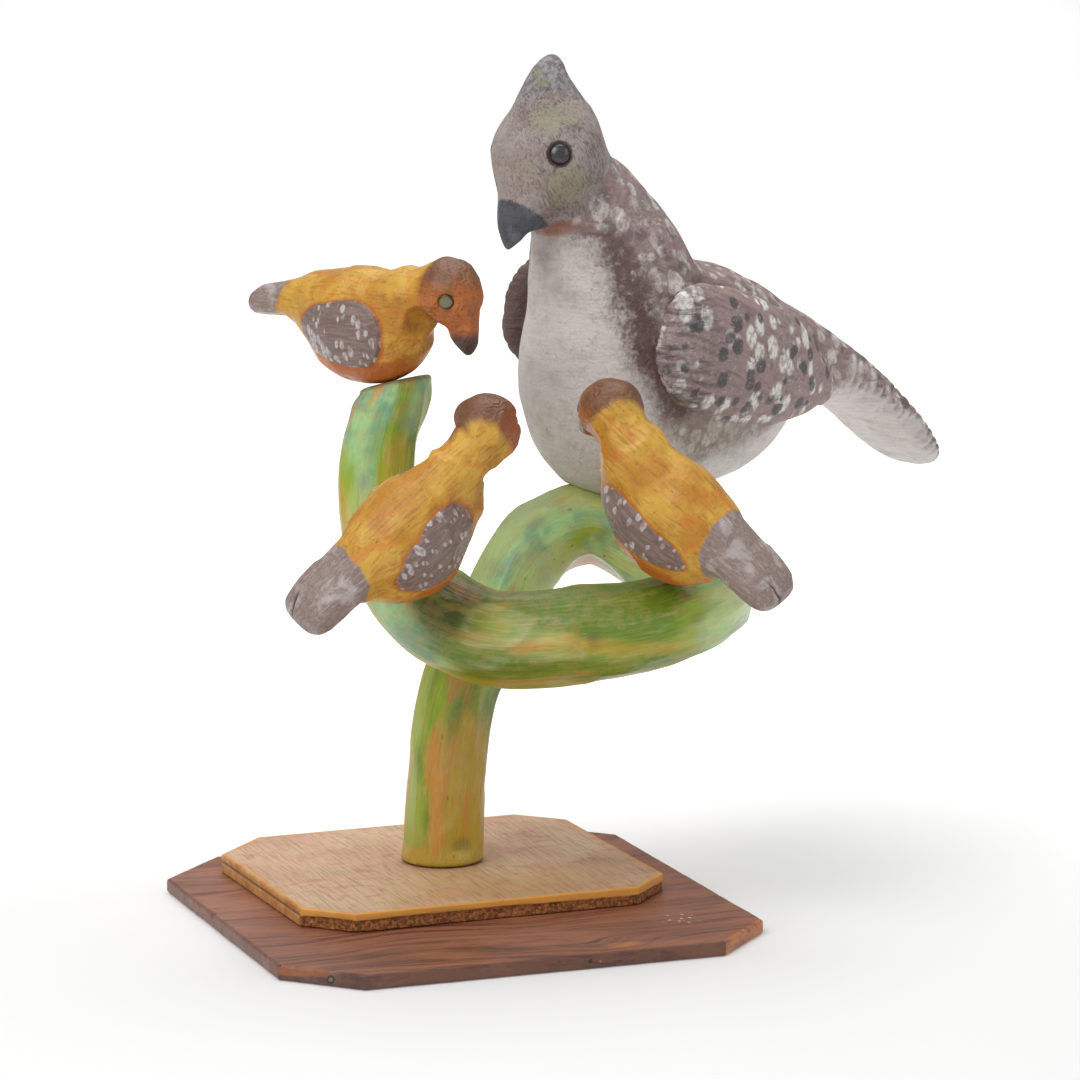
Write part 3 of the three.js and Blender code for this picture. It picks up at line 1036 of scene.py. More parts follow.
@dataclass(frozen=True)
class EyeGloss(Finish):
    """An eye bead: a colour with a darker rim and a clear gloss."""

    middle: Colour
    rim: Colour

    def paint(self, bench: Bench) -> Dressing:
        """Darkens the bead towards its rim.

        Args:
            bench: The bench of the material's tree.

        Returns:
            The shader's inputs, and the heights of its relief with their depths in metres.
        """
        cloud = bench.place().noise(420.0, 4.0, 0.6)
        rim = (bench.level("rim") + (cloud - 0.5) * 0.7).at(0.45, 0.85)
        return {"Base Color": bench.mix(rim, self.middle, self.rim)}, [(cloud, 0.00015)]


# Carved forms


@dataclass(frozen=True)
class Form:
    """One carved mass: ovals set across a line of stations, in millimetres of the bird's own frame.

    Each station is the line's x, y and z and the oval's half width and its rise above and below.
    """

    stations: tuple[tuple[float, float, float, float, float, float], ...]
    around: int = 72
    along: int = 56
    blunt: float = 2.0
    square: float = 2.0
    arch: float = 0.0

    def shape(self, unit: Array) -> Array:
        """Moves the points of a unit ball to the form.

        Args:
            unit: Points of a ball whose poles lie on its third axis.

        Returns:
            The form's points.
        """
        line = Spline([station[:3] for station in self.stations])
        sizes = Spline([station[3:] for station in self.stations])
        pole = np.clip(unit[:, 2], -1, 1)
        share = (1 - pole) / 2
        full = (1 - np.abs(pole) ** self.blunt) ** (1 / self.blunt)
        ring = np.maximum(np.hypot(unit[:, 0], unit[:, 1]), 1e-9)
        side, rise = (np.sign(unit[:, i]) * np.abs(unit[:, i] / ring) ** (2 / self.square) for i in (0, 1))
        size = sizes.at(share)
        heading = line.heading(share)
        level = np.hypot(heading[:, 0], heading[:, 2])
        upward = rise * full * np.where(rise > 0, size[:, 1], size[:, 2])
        upward -= self.arch * share * side * side * full
        moved = [-heading[:, 2] / level * upward, side * full * size[:, 0], heading[:, 0] / level * upward]
        return line.at(share) + np.stack(moved, axis=1)

    def fuller(self, wide: float, below: float, first: int) -> "Form":
        """Gives the form with its stations from the given one on scaled at the sides and below."""
        scaled = ((*s[:3], s[3] * wide, s[4], s[5] * below) for s in self.stations[first:])
        return replace(self, stations=(*self.stations[:first], *scaled))


HEN_FORMS = {
    "body": Form(
        (
            (-182, 0, 74, 58, 60, 58),
            (-122, 0, 80, 66, 66, 82),
            (-60, 0, 86, 71, 71, 90),
            (-2, 0, 90, 72, 76, 103),
            (54, 0, 92, 70, 80, 103),
        ),
        blunt=2.15,
        square=2.3,
    ),
    "neck": Form(
        (
            (-60, 0, 66, 60, 52, 96),
            (-26, 0, 132, 60, 47, 82),
            (6, 0, 190, 45, 39, 50),
            (42, 0, 250, 34, 31, 34),
        )
    ),
    "head": Form(((30, 0, 277, 33, 34, 29), (46, 0, 232, 38, 40, 37), (74, 0, 182, 28, 26, 27))),
    "beak": Form(((56, 0, 216, 19, 19, 20), (77, 0, 191, 16, 15, 17), (85, 0, 168, 9, 7, 10)), 48, 40),
    "crest": Form(
        ((40, 0, 236, 30, 30, 30), (45, 0, 270, 21, 18, 25), (42, 0, 298, 11, 11, 11)), 48, 40, blunt=2.8
    ),
    "wing": Form(
        (
            (-180, 41, 58, 11, 18, 16),
            (-115, 59, 77, 15, 40, 34),
            (-48, 67, 97, 18, 46, 42),
            (15, 75, 112, 16, 54, 42),
        ),
        blunt=3,
    ),
    "tail": Form(
        (
            (-92, 0, 100, 52, 46, 46),
            (-168, 0, 80, 42, 34, 32),
            (-234, 0, 53, 38, 17, 15),
            (-308, 0, -9, 45, 8, 8),
        ),
        blunt=4,
        square=2.8,
        arch=4,
    ),
}

CHICK_FORMS = {
    "body": Form(
        (
            (-92, 0, 54, 18, 18, 18),
            (-60, 0, 50, 27, 29, 31),
            (-22, 0, 42, 33, 38, 42),
            (12, 0, 42, 33, 39, 42),
            (39, 0, 42, 28, 34, 36),
        )
    ),
    "neck": Form(((-8, 0, 52, 26, 27, 24), (24, 0, 58, 26, 25, 19), (58, 0, 65, 19, 19, 17))),
    "tail": Form(
        ((-52, 0, 52, 24, 19, 19), (-86, 0, 51, 21, 12, 14), (-114, 0, 47, 20, 10, 11)), blunt=3.5, square=2.5
    ),
    "head": Form(((38, 0, 86, 20, 20, 20), (54, 0, 66, 23, 23, 24), (70, 0, 40, 15, 15, 16))),
    "beak": Form(((58, 0, 52, 13, 13, 14), (68, 0, 39, 10, 10, 12), (70, 0, 25, 6, 6, 7)), 48, 40),
}


# Branch


@dataclass
class Branch:
    """The painted stem: a rod along a route of (x, y, z, radius), in millimetres."""

    name: str = "whittled_branch"
    route: tuple[tuple[float, float, float, float], ...] = (
        (8, 55, 22.5, 27.5),
        (11, 54, 75, 27),
        (20, 54, 135, 27.3),
        (44, 56, 187, 28.5),
        (78, 66, 228, 29.5),
        (118, 64, 242, 29.5),
        (150, 37, 225, 29.5),
        (170, -17, 212, 30.5),
        (143, -61, 204, 30),
        (100, -68, 196, 30.5),
        (54, -54, 191, 33.5),
        (8, -31, 191, 33.5),
        (-28, 2, 214, 30.5),
        (-43, 27, 258, 28),
        (-42, 34, 305, 27.5),
        (-30, 33, 350, 27.5),
    )
    around: int = 104
    cuts: int = 20
    cut_lean: tuple[float, float] = (0.41, -0.27)
    cut_from: float = 0.9
    rim: float = 3.0
    top_taper: float = 0.16
    flat_place: Place = (6.5, -68.0, 194.0)
    flat_outward: Place = (-0.5, -0.76, 0.42)
    flat_depth: float = 1.9
    flat_reach: float = 26
    samples: int = 900
    usual_radius: float = 30
    seen_right: Place = (0.936, -0.352, 0)

    def __post_init__(self) -> None:
        """Lays the route's line, its arc lengths and its cross frames."""
        self.line = Spline([stop[:3] for stop in self.route])
        self.girth = Spline([(stop[3], i, 0) for i, stop in enumerate(self.route)])
        self.shares = np.linspace(0, 1, self.samples)
        self.places = self.line.at(self.shares)
        self.arcs = np.concatenate([[0], np.cumsum(length(np.diff(self.places, axis=0)))])
        headings = self.line.heading(self.shares)
        side = np.cross(headings[0], (0.0, 1.0, 0.0))
        sides = []
        for heading in headings:
            side = side - heading * (side @ heading)
            side = side / np.linalg.norm(side)
            sides.append(side)
        self.sides = np.array(sides)
        self.others = np.cross(headings, self.sides)
        self.top_slope = np.array(self.cut_lean) - headings[-1, :2] / headings[-1, 2]

    def between(self, table: Array, share: Array) -> Array:
        """Reads a table of the route's samples at any shares."""
        return np.stack([np.interp(share, self.shares, column) for column in table.T], axis=1)

    def bent(self, straight: Array) -> Array:
        """Bends points of the straight rod to the route.

        Args:
            straight: Points round the third axis, which runs along the rod's length.

        Returns:
            The points on the route, with the foot flat and the top's cut leaning.
        """
        share = np.interp(straight[:, 2], self.arcs, self.shares)
        offset = self.between(self.sides, share) * straight[:, :1]
        offset += self.between(self.others, share) * straight[:, 1:2]
        offset *= 1 - self.top_taper * ease(self.arcs[-1] - straight[:, 2], 16, -4)[:, None]
        place = self.line.at(share) + offset
        near_foot = ease(straight[:, 2], 14, 0)
        place[:, 2] += near_foot * (self.route[0][2] + straight[:, 2] - place[:, 2])
        near_cut = np.maximum(0, share - self.cut_from) / (1 - self.cut_from)
        place[:, 2] += near_cut * (offset[:, :2] @ np.array(self.cut_lean))
        return place

    def make_room(self, points: Array, margin: float = 40, rows: int = 4000, most_lift: float = 22) -> Array:
        """Moves points that lie in the branch out to its surface.

        Args:
            points: Points in the carving's frame, in millimetres.
            margin: How far round the points the route counts.
            rows: How many points are compared at once.
            most_lift: How much further a point may go to rest on the top than to clear the side.

        Returns:
            The points, none nearer to the branch than the seat's gap.
        """
        out = points.copy()
        low, high = points.min(0) - margin, points.max(0) + margin
        inside = np.all((self.places > low) & (self.places < high), axis=1)
        places, shares = self.places[inside], self.shares[inside]
        if not len(places):
            return out
        parts = (points[start : start + rows, None] for start in range(0, len(points), rows))
        nearest = np.concatenate([((part - places[None]) ** 2).sum(2).argmin(1) for part in parts])
        away = points - places[nearest]
        distance = np.maximum(length(away), 1e-6)
        push = np.maximum(self.girth.at(shares[nearest])[:, 0] + SEAT_GAP - distance, 0)
        end = self.places[-1]
        top = end[2] + (points[:, :2] - end[:2]) @ self.top_slope + SEAT_GAP
        lift = np.maximum(top - points[:, 2], 0)
        at_end = shares[nearest] > 0.95
        use_lift = at_end & (push > 0) & (lift < push + most_lift)
        use_push = (push > 0) & ~(at_end & (points[:, 2] > top)) & ~use_lift
        out[use_lift, 2] += lift[use_lift]
        out[use_push] += (away / distance[:, None] * push[:, None])[use_push]
        return out

    def build(self) -> None:
        """Whittles the rod, bends it and paints it."""
        add = bpy.ops.mesh.primitive_cylinder_add
        piece = rough_out(self.name, add, vertices=self.around, radius=1, depth=1, end_fill_type="NGON")
        for _ in range(2):
            choose_edges(piece, lambda ends: np.abs(ends[:, 0, 2] - ends[:, 1, 2]) > 1e-4)
            bpy.ops.mesh.subdivide(number_cuts=self.cuts)
        mode("OBJECT")
        rod = Carving(piece)
        top = self.arcs[-1]
        arc = (rod.points[:, 2] + 0.5) * top
        angle = np.arctan2(rod.points[:, 1], rod.points[:, 0])
        radius = self.girth.at(np.interp(arc, self.arcs, self.shares))[:, 0]
        rod.points = np.stack([radius * np.cos(angle), radius * np.sin(angle), arc], axis=1)
        rod.write()

        def at_rim(ends: Array) -> Array:
            """Picks the edges round the foot and the top."""
            low, high = ends[:, 0, 2], ends[:, 1, 2]
            return (np.abs(low - high) < 1e-3) & ((low < 1e-3) | (low > top - 1e-3))

        choose_edges(piece, at_rim)
        bpy.ops.mesh.bevel(offset=self.rim, segments=3, affect="EDGES")
        mode("OBJECT")
        rod = Carving(piece)
        inner = ease(rod.points[:, 2], 2, 14) * ease(top - rod.points[:, 2], 2, 10)
        rod.pare(count=130, reach=48, depth=2.3, seed=7, where=inner)
        rod.swell_out((0.55 * swell(rod.points, 38, 3) + 0.22 * swell(rod.points, 13, 4)) * inner)
        straight = rod.points.copy()
        rod.mark(straight=straight * MM)
        rod.mark_relief(24, 0.35)
        placed = self.bent(straight)
        rod.mark(**self.colours(straight, placed))
        outward = np.array(self.flat_outward) / np.linalg.norm(self.flat_outward)
        beyond = (placed - np.array(self.flat_place)) @ outward + self.flat_depth
        close = near(placed, self.flat_place, self.flat_reach * 1.2, self.flat_reach)
        # the shaved facet is marked, and its paint takes a painted highlight
        rod.mark(shaved=ease(beyond, -0.3, 0.2) * close)
        rod.points = (placed - outward * (np.maximum(beyond, 0) * close)[:, None]) * MM
        rod.write()
        face_outwards(piece)
        finish_piece(piece, BranchPaint(), "branch_paint", "branch", smooth_angle=40)

    def colours(self, straight: Array, placed: Array) -> dict[str, Array]:
        """Says where each colour of the branch is strongest.

        Args:
            straight: The rod's points before bending.
            placed: The points after it.

        Returns:
            The marks by name. Their rows below run from stop to stop of the route.
        """
        share = np.interp(straight[:, 2], self.arcs, self.shares)
        rows = {
            "ochre": (14, 10, 4, -3, -8, -8, -4, -5, -8, -7, -6, -4, 0, 8, 6, -2),
            "cool": (-20, -20, -10, 2, 8, 5, 10, 20, 0, -20, -20, -12, -6, -8, -8, 5),
            "deep": (-6, -5, 0, 0, -18, -18, -10, -10, 4, 14, 14, 8, 0, -8, -5, 0),
            "painted_highlight": (-10, -10, -8, 4, 18, 18, 12, 10, 0, -8, -6, 0, 2, 3, 3, 0),
            "warm": (2, 2, 0, 0, -2, -4, 0, -2, 0, 1, 0, -1, -2, -3, -2, 3),
        }
        stops = np.linspace(0, 1, len(self.route))
        marks = {name: np.interp(share, stops, np.array(row) / 100) for name, row in rows.items()}
        facing = (placed - self.line.at(share)) / self.usual_radius
        right = facing @ np.array(self.seen_right)
        trunk = ease(share, 0.2, 0.1)
        # the sweep's right end, on the shadow side, is paler: partly its paint, partly painted light
        paler_and_lit = near(placed, (150, -90, 203), 52, 16)
        height = straight[:, 2]
        marks["ochre"] += 0.1 * trunk * ease(right, -0.1, 0.5) + 0.3 * ease(height, 14, 4)
        arch = ease(share, 0.18, 0.26) * ease(share, 0.46, 0.38)
        marks["warm"] += 0.3 * ease(-facing[:, 2], 0.35, 0.9) * arch
        marks["cool"] += 0.14 * trunk * ease(right, 0.5, 0.95) * ease(height, 30, 60)
        marks["cool"] += 0.096 * near(placed, (-38, -22, 178), 42, 12) + 0.22 * paler_and_lit
        marks["cool"] += 0.12 * ease(share, 0.9, 0.97) * ease(right, 0.3, -0.3)
        marks["painted_highlight"] += 0.1 * paler_and_lit
        marks["deep"] -= 0.1 * paler_and_lit
        # a painted shadow, with darker paint, on the sweep under the left chick
        marks["shadow_and_dark_paint"] = 0.9 * near(placed, (-22, -38, 216), 34, 10)
        marks["rim"] = ease(self.arcs[-1] - height, 5, 1) * 0.85
        marks["foot"] = ease(height, 1.5, 0.2)
        return marks


# Birds


@dataclass(frozen=True)
class EyeSeat:
    """Where a bird's eyes are let in: a bead's radius and the line that meets the head there.

    How deep it is sunk, its dome's height and its underside's depth are shares of the radius.
    """

    radius: float
    start: Place
    towards: Place
    sunk: float = 0.3
    dome: float = 0.45
    under: float = 0.34


@dataclass(frozen=True)
class Blend:
    """How creases are softened: how far from them, how often, and how much of the lost bulk returns."""

    reach: float
    passes: int
    refill: float = 0.0


@dataclass
class Bird:
    """A carved bird: rough forms joined, blended, whittled and painted."""

    branch: Branch
    node: str
    kind: str
    at: Place
    voxel: float
    relief: float
    seat: EyeSeat
    finish: Finish
    gloss: EyeGloss
    flat: tuple[float, float, float, float] = (0, 0, 1, 1e4)
    pose: Matrix = field(default_factory=Matrix)
    head_turn: Matrix = field(default_factory=Matrix)

    def forms(self) -> list[tuple[str, Form, Mover]]:
        """Gives each rough form with its name and the function that places it in the bird's frame."""
        raise NotImplementedError

    def carve(self, skin: Carving, away: dict[str, Array]) -> None:
        """Blends, pares and details the skin.

        Args:
            skin: The joined skin in the bird's own frame.
            away: How far each vertex is from each rough form.
        """
        raise NotImplementedError

    def marks(self, skin: Carving, away: dict[str, Array], rings: Array) -> dict[str, Array]:
        """Gives the regions of the paint.

        Args:
            skin: The carved skin in the bird's own frame.
            away: How far each vertex was from each rough form.
            rings: How far each vertex is from the nearer eye, in radii of its bead.

        Returns:
            The marks by name.
        """
        raise NotImplementedError

    def build(self) -> None:
        """Carves, paints and seats the bird and its two beads."""
        skin, away = self.join_forms()
        self.carve(skin, away)
        eyes = self.eye_places(skin.piece)
        rings = np.minimum(*[self.press_eye(skin, *eye) for eye in eyes])
        skin.write()
        skin.mark_relief(16, self.relief)
        skin.mark(own=skin.points * MM, **self.marks(skin, away, rings))
        self.settle(skin)
        finish_piece(skin.piece, self.finish, f"{self.kind}_paint", self.node, smooth_angle=180)
        for side, eye in zip(("left", "right"), eyes):
            self.make_eye(side, *eye)

    def join_forms(self) -> tuple[Carving, dict[str, Array]]:
        """Joins the rough forms and remeshes them as one skin.

        Returns:
            The skin and, for each form, how far each vertex is from its surface.
        """
        parts, trees = [], {}
        for label, form, moved in self.forms():
            part = ball(f"carved_{self.node}_{label}", form.around, form.along)
            shape = Carving(part)
            shape.points = moved(form.shape(shape.points))
            shape.write()
            face_outwards(part)
            corners = [tuple(polygon.vertices) for polygon in part.data.polygons]
            trees[label] = BVHTree.FromPolygons(shape.points.tolist(), corners)
            parts.append(part)
        pick(parts[0])
        for part in parts:
            part.select_set(True)
        bpy.ops.object.join()
        piece = bpy.context.object
        piece.name = piece.data.name = f"carved_{self.node}"
        pick(piece)
        remesh = piece.modifiers.new("remesh", "REMESH")
        remesh.mode = "VOXEL"
        remesh.voxel_size = self.voxel
        bpy.ops.object.modifier_apply(modifier=remesh.name)
        skin = Carving(piece)
        places = [Vector(point) for point in skin.points]
        found = {label: [tree.find_nearest(place)[3] for place in places] for label, tree in trees.items()}
        return skin, {label: np.array(values) for label, values in found.items()}

    @staticmethod
    def blend(
        skin: Carving, away: dict[str, Array], how: Blend, where: Array | float = 1.0,
        crisp: Sequence[str] = (), loose: Array | float = 0.0,
    ) -> None:
        """Softens the creases where forms meet.

        Args:
            skin: The joined skin.
            away: The distances to the forms.
            how: How far and how often.
            where: How much of it each vertex takes.
            crisp: Forms whose edges keep a short crease.
            loose: Where even the crisp edges are softened.
        """
        soft = [values for label, values in away.items() if label not in crisp]
        second = np.sort(np.stack([*soft, np.full(len(skin.points), 1e3)]), axis=0)[1]
        weight = ease(second, how.reach, how.reach * 0.3)
        for label in crisp:
            weight *= np.maximum(ease(away[label], 1.0, 7.0), loose)
        weight = np.clip(skin.averaged(weight, 6), 0, 1)
        before = skin.points.copy()
        skin.points = skin.averaged(skin.points, how.passes, 0.9 * weight * where)
        skin.points = skin.averaged(skin.points, 3, 0.5)
        skin.write()
        if how.refill:
            lost = ((before - skin.points) * skin.normals()).sum(1)
            skin.swell_out(how.refill * skin.averaged(lost, how.passes))

    def eye_places(self, piece: Piece) -> list[tuple[Vector, Vector]]:
        """Finds where the lines of the eyes leave the carved head.

        Args:
            piece: The bird in its own frame.

        Returns:
            For the left and the right eye its place and its outward direction.
        """
        corners = [tuple(polygon.vertices) for polygon in piece.data.polygons]
        tree = BVHTree.FromPolygons([vertex.co for vertex in piece.data.vertices], corners)
        start = self.head_turn @ Vector(self.seat.start)
        x, y, z = self.seat.towards
        lines = [(self.head_turn.to_3x3() @ Vector((x, across, z))).normalized() for across in (y, -y)]
        return [(tree.ray_cast(start, line)[0], line) for line in lines]

    def press_eye(self, skin: Carving, place: Vector, towards: Vector) -> Array:
        """Presses an eye's seat and its lid into the head.

        Args:
            skin: The bird in its own frame.
            place: The eye's place.
            towards: Its outward direction.

        Returns:
            How far each vertex is from the eye's middle, as a share of its radius.
        """
        radius = self.seat.radius
        away = skin.points - np.array(place)
        outward = np.array(towards)
        share = length(away - (away @ outward)[:, None] * outward) / radius
        close = length(away) < 3 * radius
        depth = self.seat.sunk * radius * (ease(share, 1.25, 0.95) + 0.35 * ease(share, 1.9, 1.2))
        skin.points -= (depth * close)[:, None] * outward
        return np.where(close, share, 9.0)

    def make_eye(self, side: str, place: Vector, towards: Vector) -> None:
        """Turns a bead and sets it in its seat, behind the plane that the head is shaved to.

        Args:
            side: "left" or "right".
            place: The eye's place in the bird's frame.
            towards: Its outward direction there.
        """
        bead = ball(f"{self.node}_bead_{side}", around=40, along=24)
        shape = Carving(bead)
        radius = self.seat.radius
        up = shape.points[:, 2]
        rim = np.hypot(shape.points[:, 0], shape.points[:, 1])
        wide = np.where(up < 0, np.minimum(rim * 1.6, 1), rim) / np.maximum(rim, 1e-9)
        shape.mark(rim=np.where(up > 0, rim**2, 1.0))
        high = np.where(up > 0, self.seat.dome, self.seat.under)
        shape.points = shape.points * np.stack([wide, wide, high], axis=1) * radius
        turn = Vector(towards).to_track_quat("Z", "Y").to_matrix().to_4x4()
        sunk = Matrix.Translation(place - towards * (self.seat.sunk * 0.8 * radius))
        world = moved_by(self.pose @ sunk @ turn, shape.points)
        outward = np.array(self.flat[:3])
        world -= outward * max((world @ outward).max() - self.flat[3], 0)
        shape.points = world * MM
        shape.write()
        face_outwards(bead)
        finish_piece(bead, self.gloss, f"{self.kind}_eye", f"{self.node}_eye_{side}", smooth_angle=60)

    def settle(self, skin: Carving) -> None:
        """Moves the finished skin to its place in the carving, clear of the branch, and shaves it.

        Args:
            skin: The skin in the bird's own frame.
        """
        world = self.branch.make_room(moved_by(self.pose, skin.points))
        outward = np.array(self.flat[:3])
        beyond = world @ outward - self.flat[3]
        skin.mark(shaved=ease(beyond, -0.4, 0.3))
        skin.points = (world - outward * np.maximum(beyond, 0)[:, None]) * MM
        skin.write()


@dataclass
class Hen(Bird):
    """The grouse, with a raised grooved wing on each side and a notched tail."""

    node: str = "hen"
    kind: str = "hen"
    at: Place = (120.6, 55.5, 262.5)
    voxel: float = 1.7
    relief: float = 1.1
    seat: EyeSeat = EyeSeat(6.6, (44, 0, 227.5), (22.5, 32, 8))
    finish: Finish = HenPaint()
    gloss: EyeGloss = EyeGloss("hen_bead", 0.3, 0.6, srgb(52, 52, 56), srgb(30, 24, 22))
    heading: float = 202.4
    groove_pitch: float = 7.2
    groove_depth: float = 1.3
    notch_pitch: float = 8.0
    notch_depth: float = 2.0

    def __post_init__(self) -> None:
        """Sets the hen's pose."""
        self.pose = Matrix.Translation(self.at) @ turned(self.heading, "Z")

    def forms(self) -> list[tuple[str, Form, Mover]]:
        """Gives the hen's forms; the wing comes twice, the second time mirrored.

        Returns:
            For each form its name, the form and the function that places it.
        """

        def raised(points: Array) -> Array:
            """Mirrors points and lifts the wing's leading end."""
            lift = 8 * ease(points[:, 0], -110, -10)
            return np.column_stack([points[:, 0], -points[:, 1], points[:, 2] + lift])

        listed = [(label, form, lambda points: points) for label, form in HEN_FORMS.items()]
        return [*listed, ("far_wing", HEN_FORMS["wing"], raised)]

    @staticmethod
    def on_wing(away: dict[str, Array]) -> Array:
        """Says how much each vertex belongs to a wing."""
        return ease(np.minimum(away["wing"], away["far_wing"]), 1.6, 0.4)

    def carve(self, skin: Carving, away: dict[str, Array]) -> None:
        """Blends the skin, gouges the wings, notches the tail, pares and dents it.

        Args:
            skin: The joined skin in the bird's own frame.
            away: How far each vertex is from each rough form.
        """
        x, _, z = skin.points.T
        top = ease(z - np.interp(x, (-180, -115, -48, 15), (68, 104, 128, 142)), -4, 8)
        self.blend(skin, away, Blend(reach=24, passes=90), crisp=("wing", "far_wing"), loose=0.5 * top)
        self.gouge_wings(skin, self.on_wing(away))
        self.notch_tail(skin)
        skin.pare(count=300, reach=17, depth=1.0, seed=21, where=1 - 0.6 * self.on_wing(away))
        skin.swell_out(0.7 * (0.5 * swell(skin.points, 16, 5) + 0.25 * swell(skin.points, 6, 6)))

    def gouge_wings(self, skin: Carving, on_wing: Array) -> None:
        """Gouges the feather grooves into the leading ends of both wings.

        Args:
            skin: The blended skin.
            on_wing: How much each vertex belongs to a wing.
        """
        points = skin.points.copy()
        x, y, z = points.T
        across = z - 0.22 * x + 2.2 * swell(points, 12, 9)
        broken = np.clip(0.55 + 0.8 * swell(points, 13, 13), 0, 1)
        groove = broken * (0.5 + 0.5 * np.cos(across * (math.tau / self.groove_pitch))) ** 4
        front = ease(x + 9 * swell(points, 9, 10), -40, -12)
        edge = on_wing * ease(np.abs(y), 50, 60)
        skin.swell_out(-self.groove_depth * groove * front * edge)
        x, y, _ = skin.points.T
        contour = 4 * on_wing * (1 - on_wing) * ease(x, -40, -20) * ease(np.abs(y), 50, 60)
        ridges = 0.5 * front * edge * ease(groove, 0.2, 0.05) * ease(x, -20, -4)
        skin.mark(grooved=groove * front * edge, ridged=contour + ridges)

    def notch_tail(self, skin: Carving) -> None:
        """Cuts the row of small notches along the tail's edges.

        Args:
            skin: The skin in the bird's own frame.
        """
        x, y, z = skin.points.T
        along = np.hypot(x + 150, z - 90) + 1.0 * swell(skin.points, 9, 11)
        notch = (0.5 + 0.5 * np.cos(along * (math.tau / self.notch_pitch))) ** 2
        rim = ease(np.abs(y), 27, 34) * ease(x, -185, -215) * ease(x, -306, -298)
        top = ease(z - np.interp(x, (-300, -234, -168), (-2, 53, 80)), -9, -3)
        skin.swell_out(-self.notch_depth * notch * rim * top)

    def marks(self, skin: Carving, away: dict[str, Array], rings: Array) -> dict[str, Array]:
        """Gives the breast, the head's parts, the wings' carving and where dabs, flecks and painted shade
        lie.

        Args:
            skin: The carved skin in the bird's own frame.
            away: How far each vertex was from each rough form.
            rings: How far each vertex is from the nearer eye, in radii of its bead.

        Returns:
            The marks by name.
        """
        x, y, z = skin.points.T
        wing = self.on_wing(away)
        off = 1 - wing
        heights = (20, 51, 71, 85, 105, 124, 142, 159, 177, 190)
        front = np.interp(z, heights, (-36, 0, 7, 16, 23, 24, 27, 31, 37, 60))
        stops = (-304, -272, -236, -194, -160, -120, -109, -91, -63, -30, 0)
        belly = np.interp(x, stops, (-8, 11, 37, 58, 56, 52, 47, 36, 29, 28, 50))
        tail = ease(x, -180, -205)
        under = tail * -16 * (skin.normals()[:, 2] + 0.1) + (1 - tail) * (belly - z)
        pale = np.maximum(0.8 * (x - front) * ease(z, 196, 186), under)
        pale = np.where(z > 188, -20, pale) - 30 * wing
        skull = ease(away["head"], 5, 1) * ease(away["neck"], -2, 2) * ease(z - 0.55 * (40 - x), 178, 190)
        skull = np.clip(np.maximum(skull, ease(z - 0.3 * (40 - x), 236, 246)), 0, 1)
        bill = ease(186.5 + 0.66 * (x - 58) - z, -3, 3) * ease(x, 50, 56) * ease(away["beak"], 9, 5)
        throat = np.sqrt(((x - 48) / 16) ** 2 + (y / 24) ** 2 + ((z - 185) / 7) ** 2)
        # painted shade: a band beside the breast and the far wing's front, which also gets fewer dabs
        beside = ease(pale, -24, -6) * ease(z, 40, 70) * ease(z, 188, 176) * ease(x, -60, -20) * off
        far = wing * ease(-y, 40, 52) * ease(x, -70, -30)
        bare = 1 - ease(pale, -6, 4)
        neck = ease(z, 110, 135) * off
        dabbed = np.clip(0.25 + wing + 0.3 * neck + 0.5 * ease(x, -150, -190), 0, 1) * (1 - 0.7 * far)
        carved = 0.8 * wing * ease(np.abs(y), 50, 60)
        folded = np.stack([x, np.abs(y), z], axis=1)
        spots = ((66, 20, 258, 17), (50, 30, 262, 13), (58, 30, 214, 22), (72, 12, 226, 14))
        return {
            "pale": np.clip(pale / 14, -2, 2),
            "skull": skull,
            "comb": ease(z, 262, 284),
            "bill": np.clip(bill, 0, 1),
            "carved": carved * ease(x + 9 * swell(skin.points, 8, 14), -34, -12),
            "rust": ease(throat, 1.25, 0.7) * (1 - np.clip(bill, 0, 1)),
            "olive": np.clip(sum(near(folded, spot[:3], spot[3], spot[3] * 0.3) for spot in spots), 0, 1),
            "flush": ease(np.sqrt((x - 84) ** 2 + (y * 0.8) ** 2 + ((z - 226) * 0.6) ** 2), 30, 10),
            "lid": ease(rings, 1.6, 1.15),
            "beside": beside + far,
            "flank": off * ease(z, 92, 66) * ease(x, -150, -110),
            "flecked": np.clip(neck + off * 0.7, 0, 1) * bare,
            "dabbed": dabbed * bare * (1 - skull),
        }


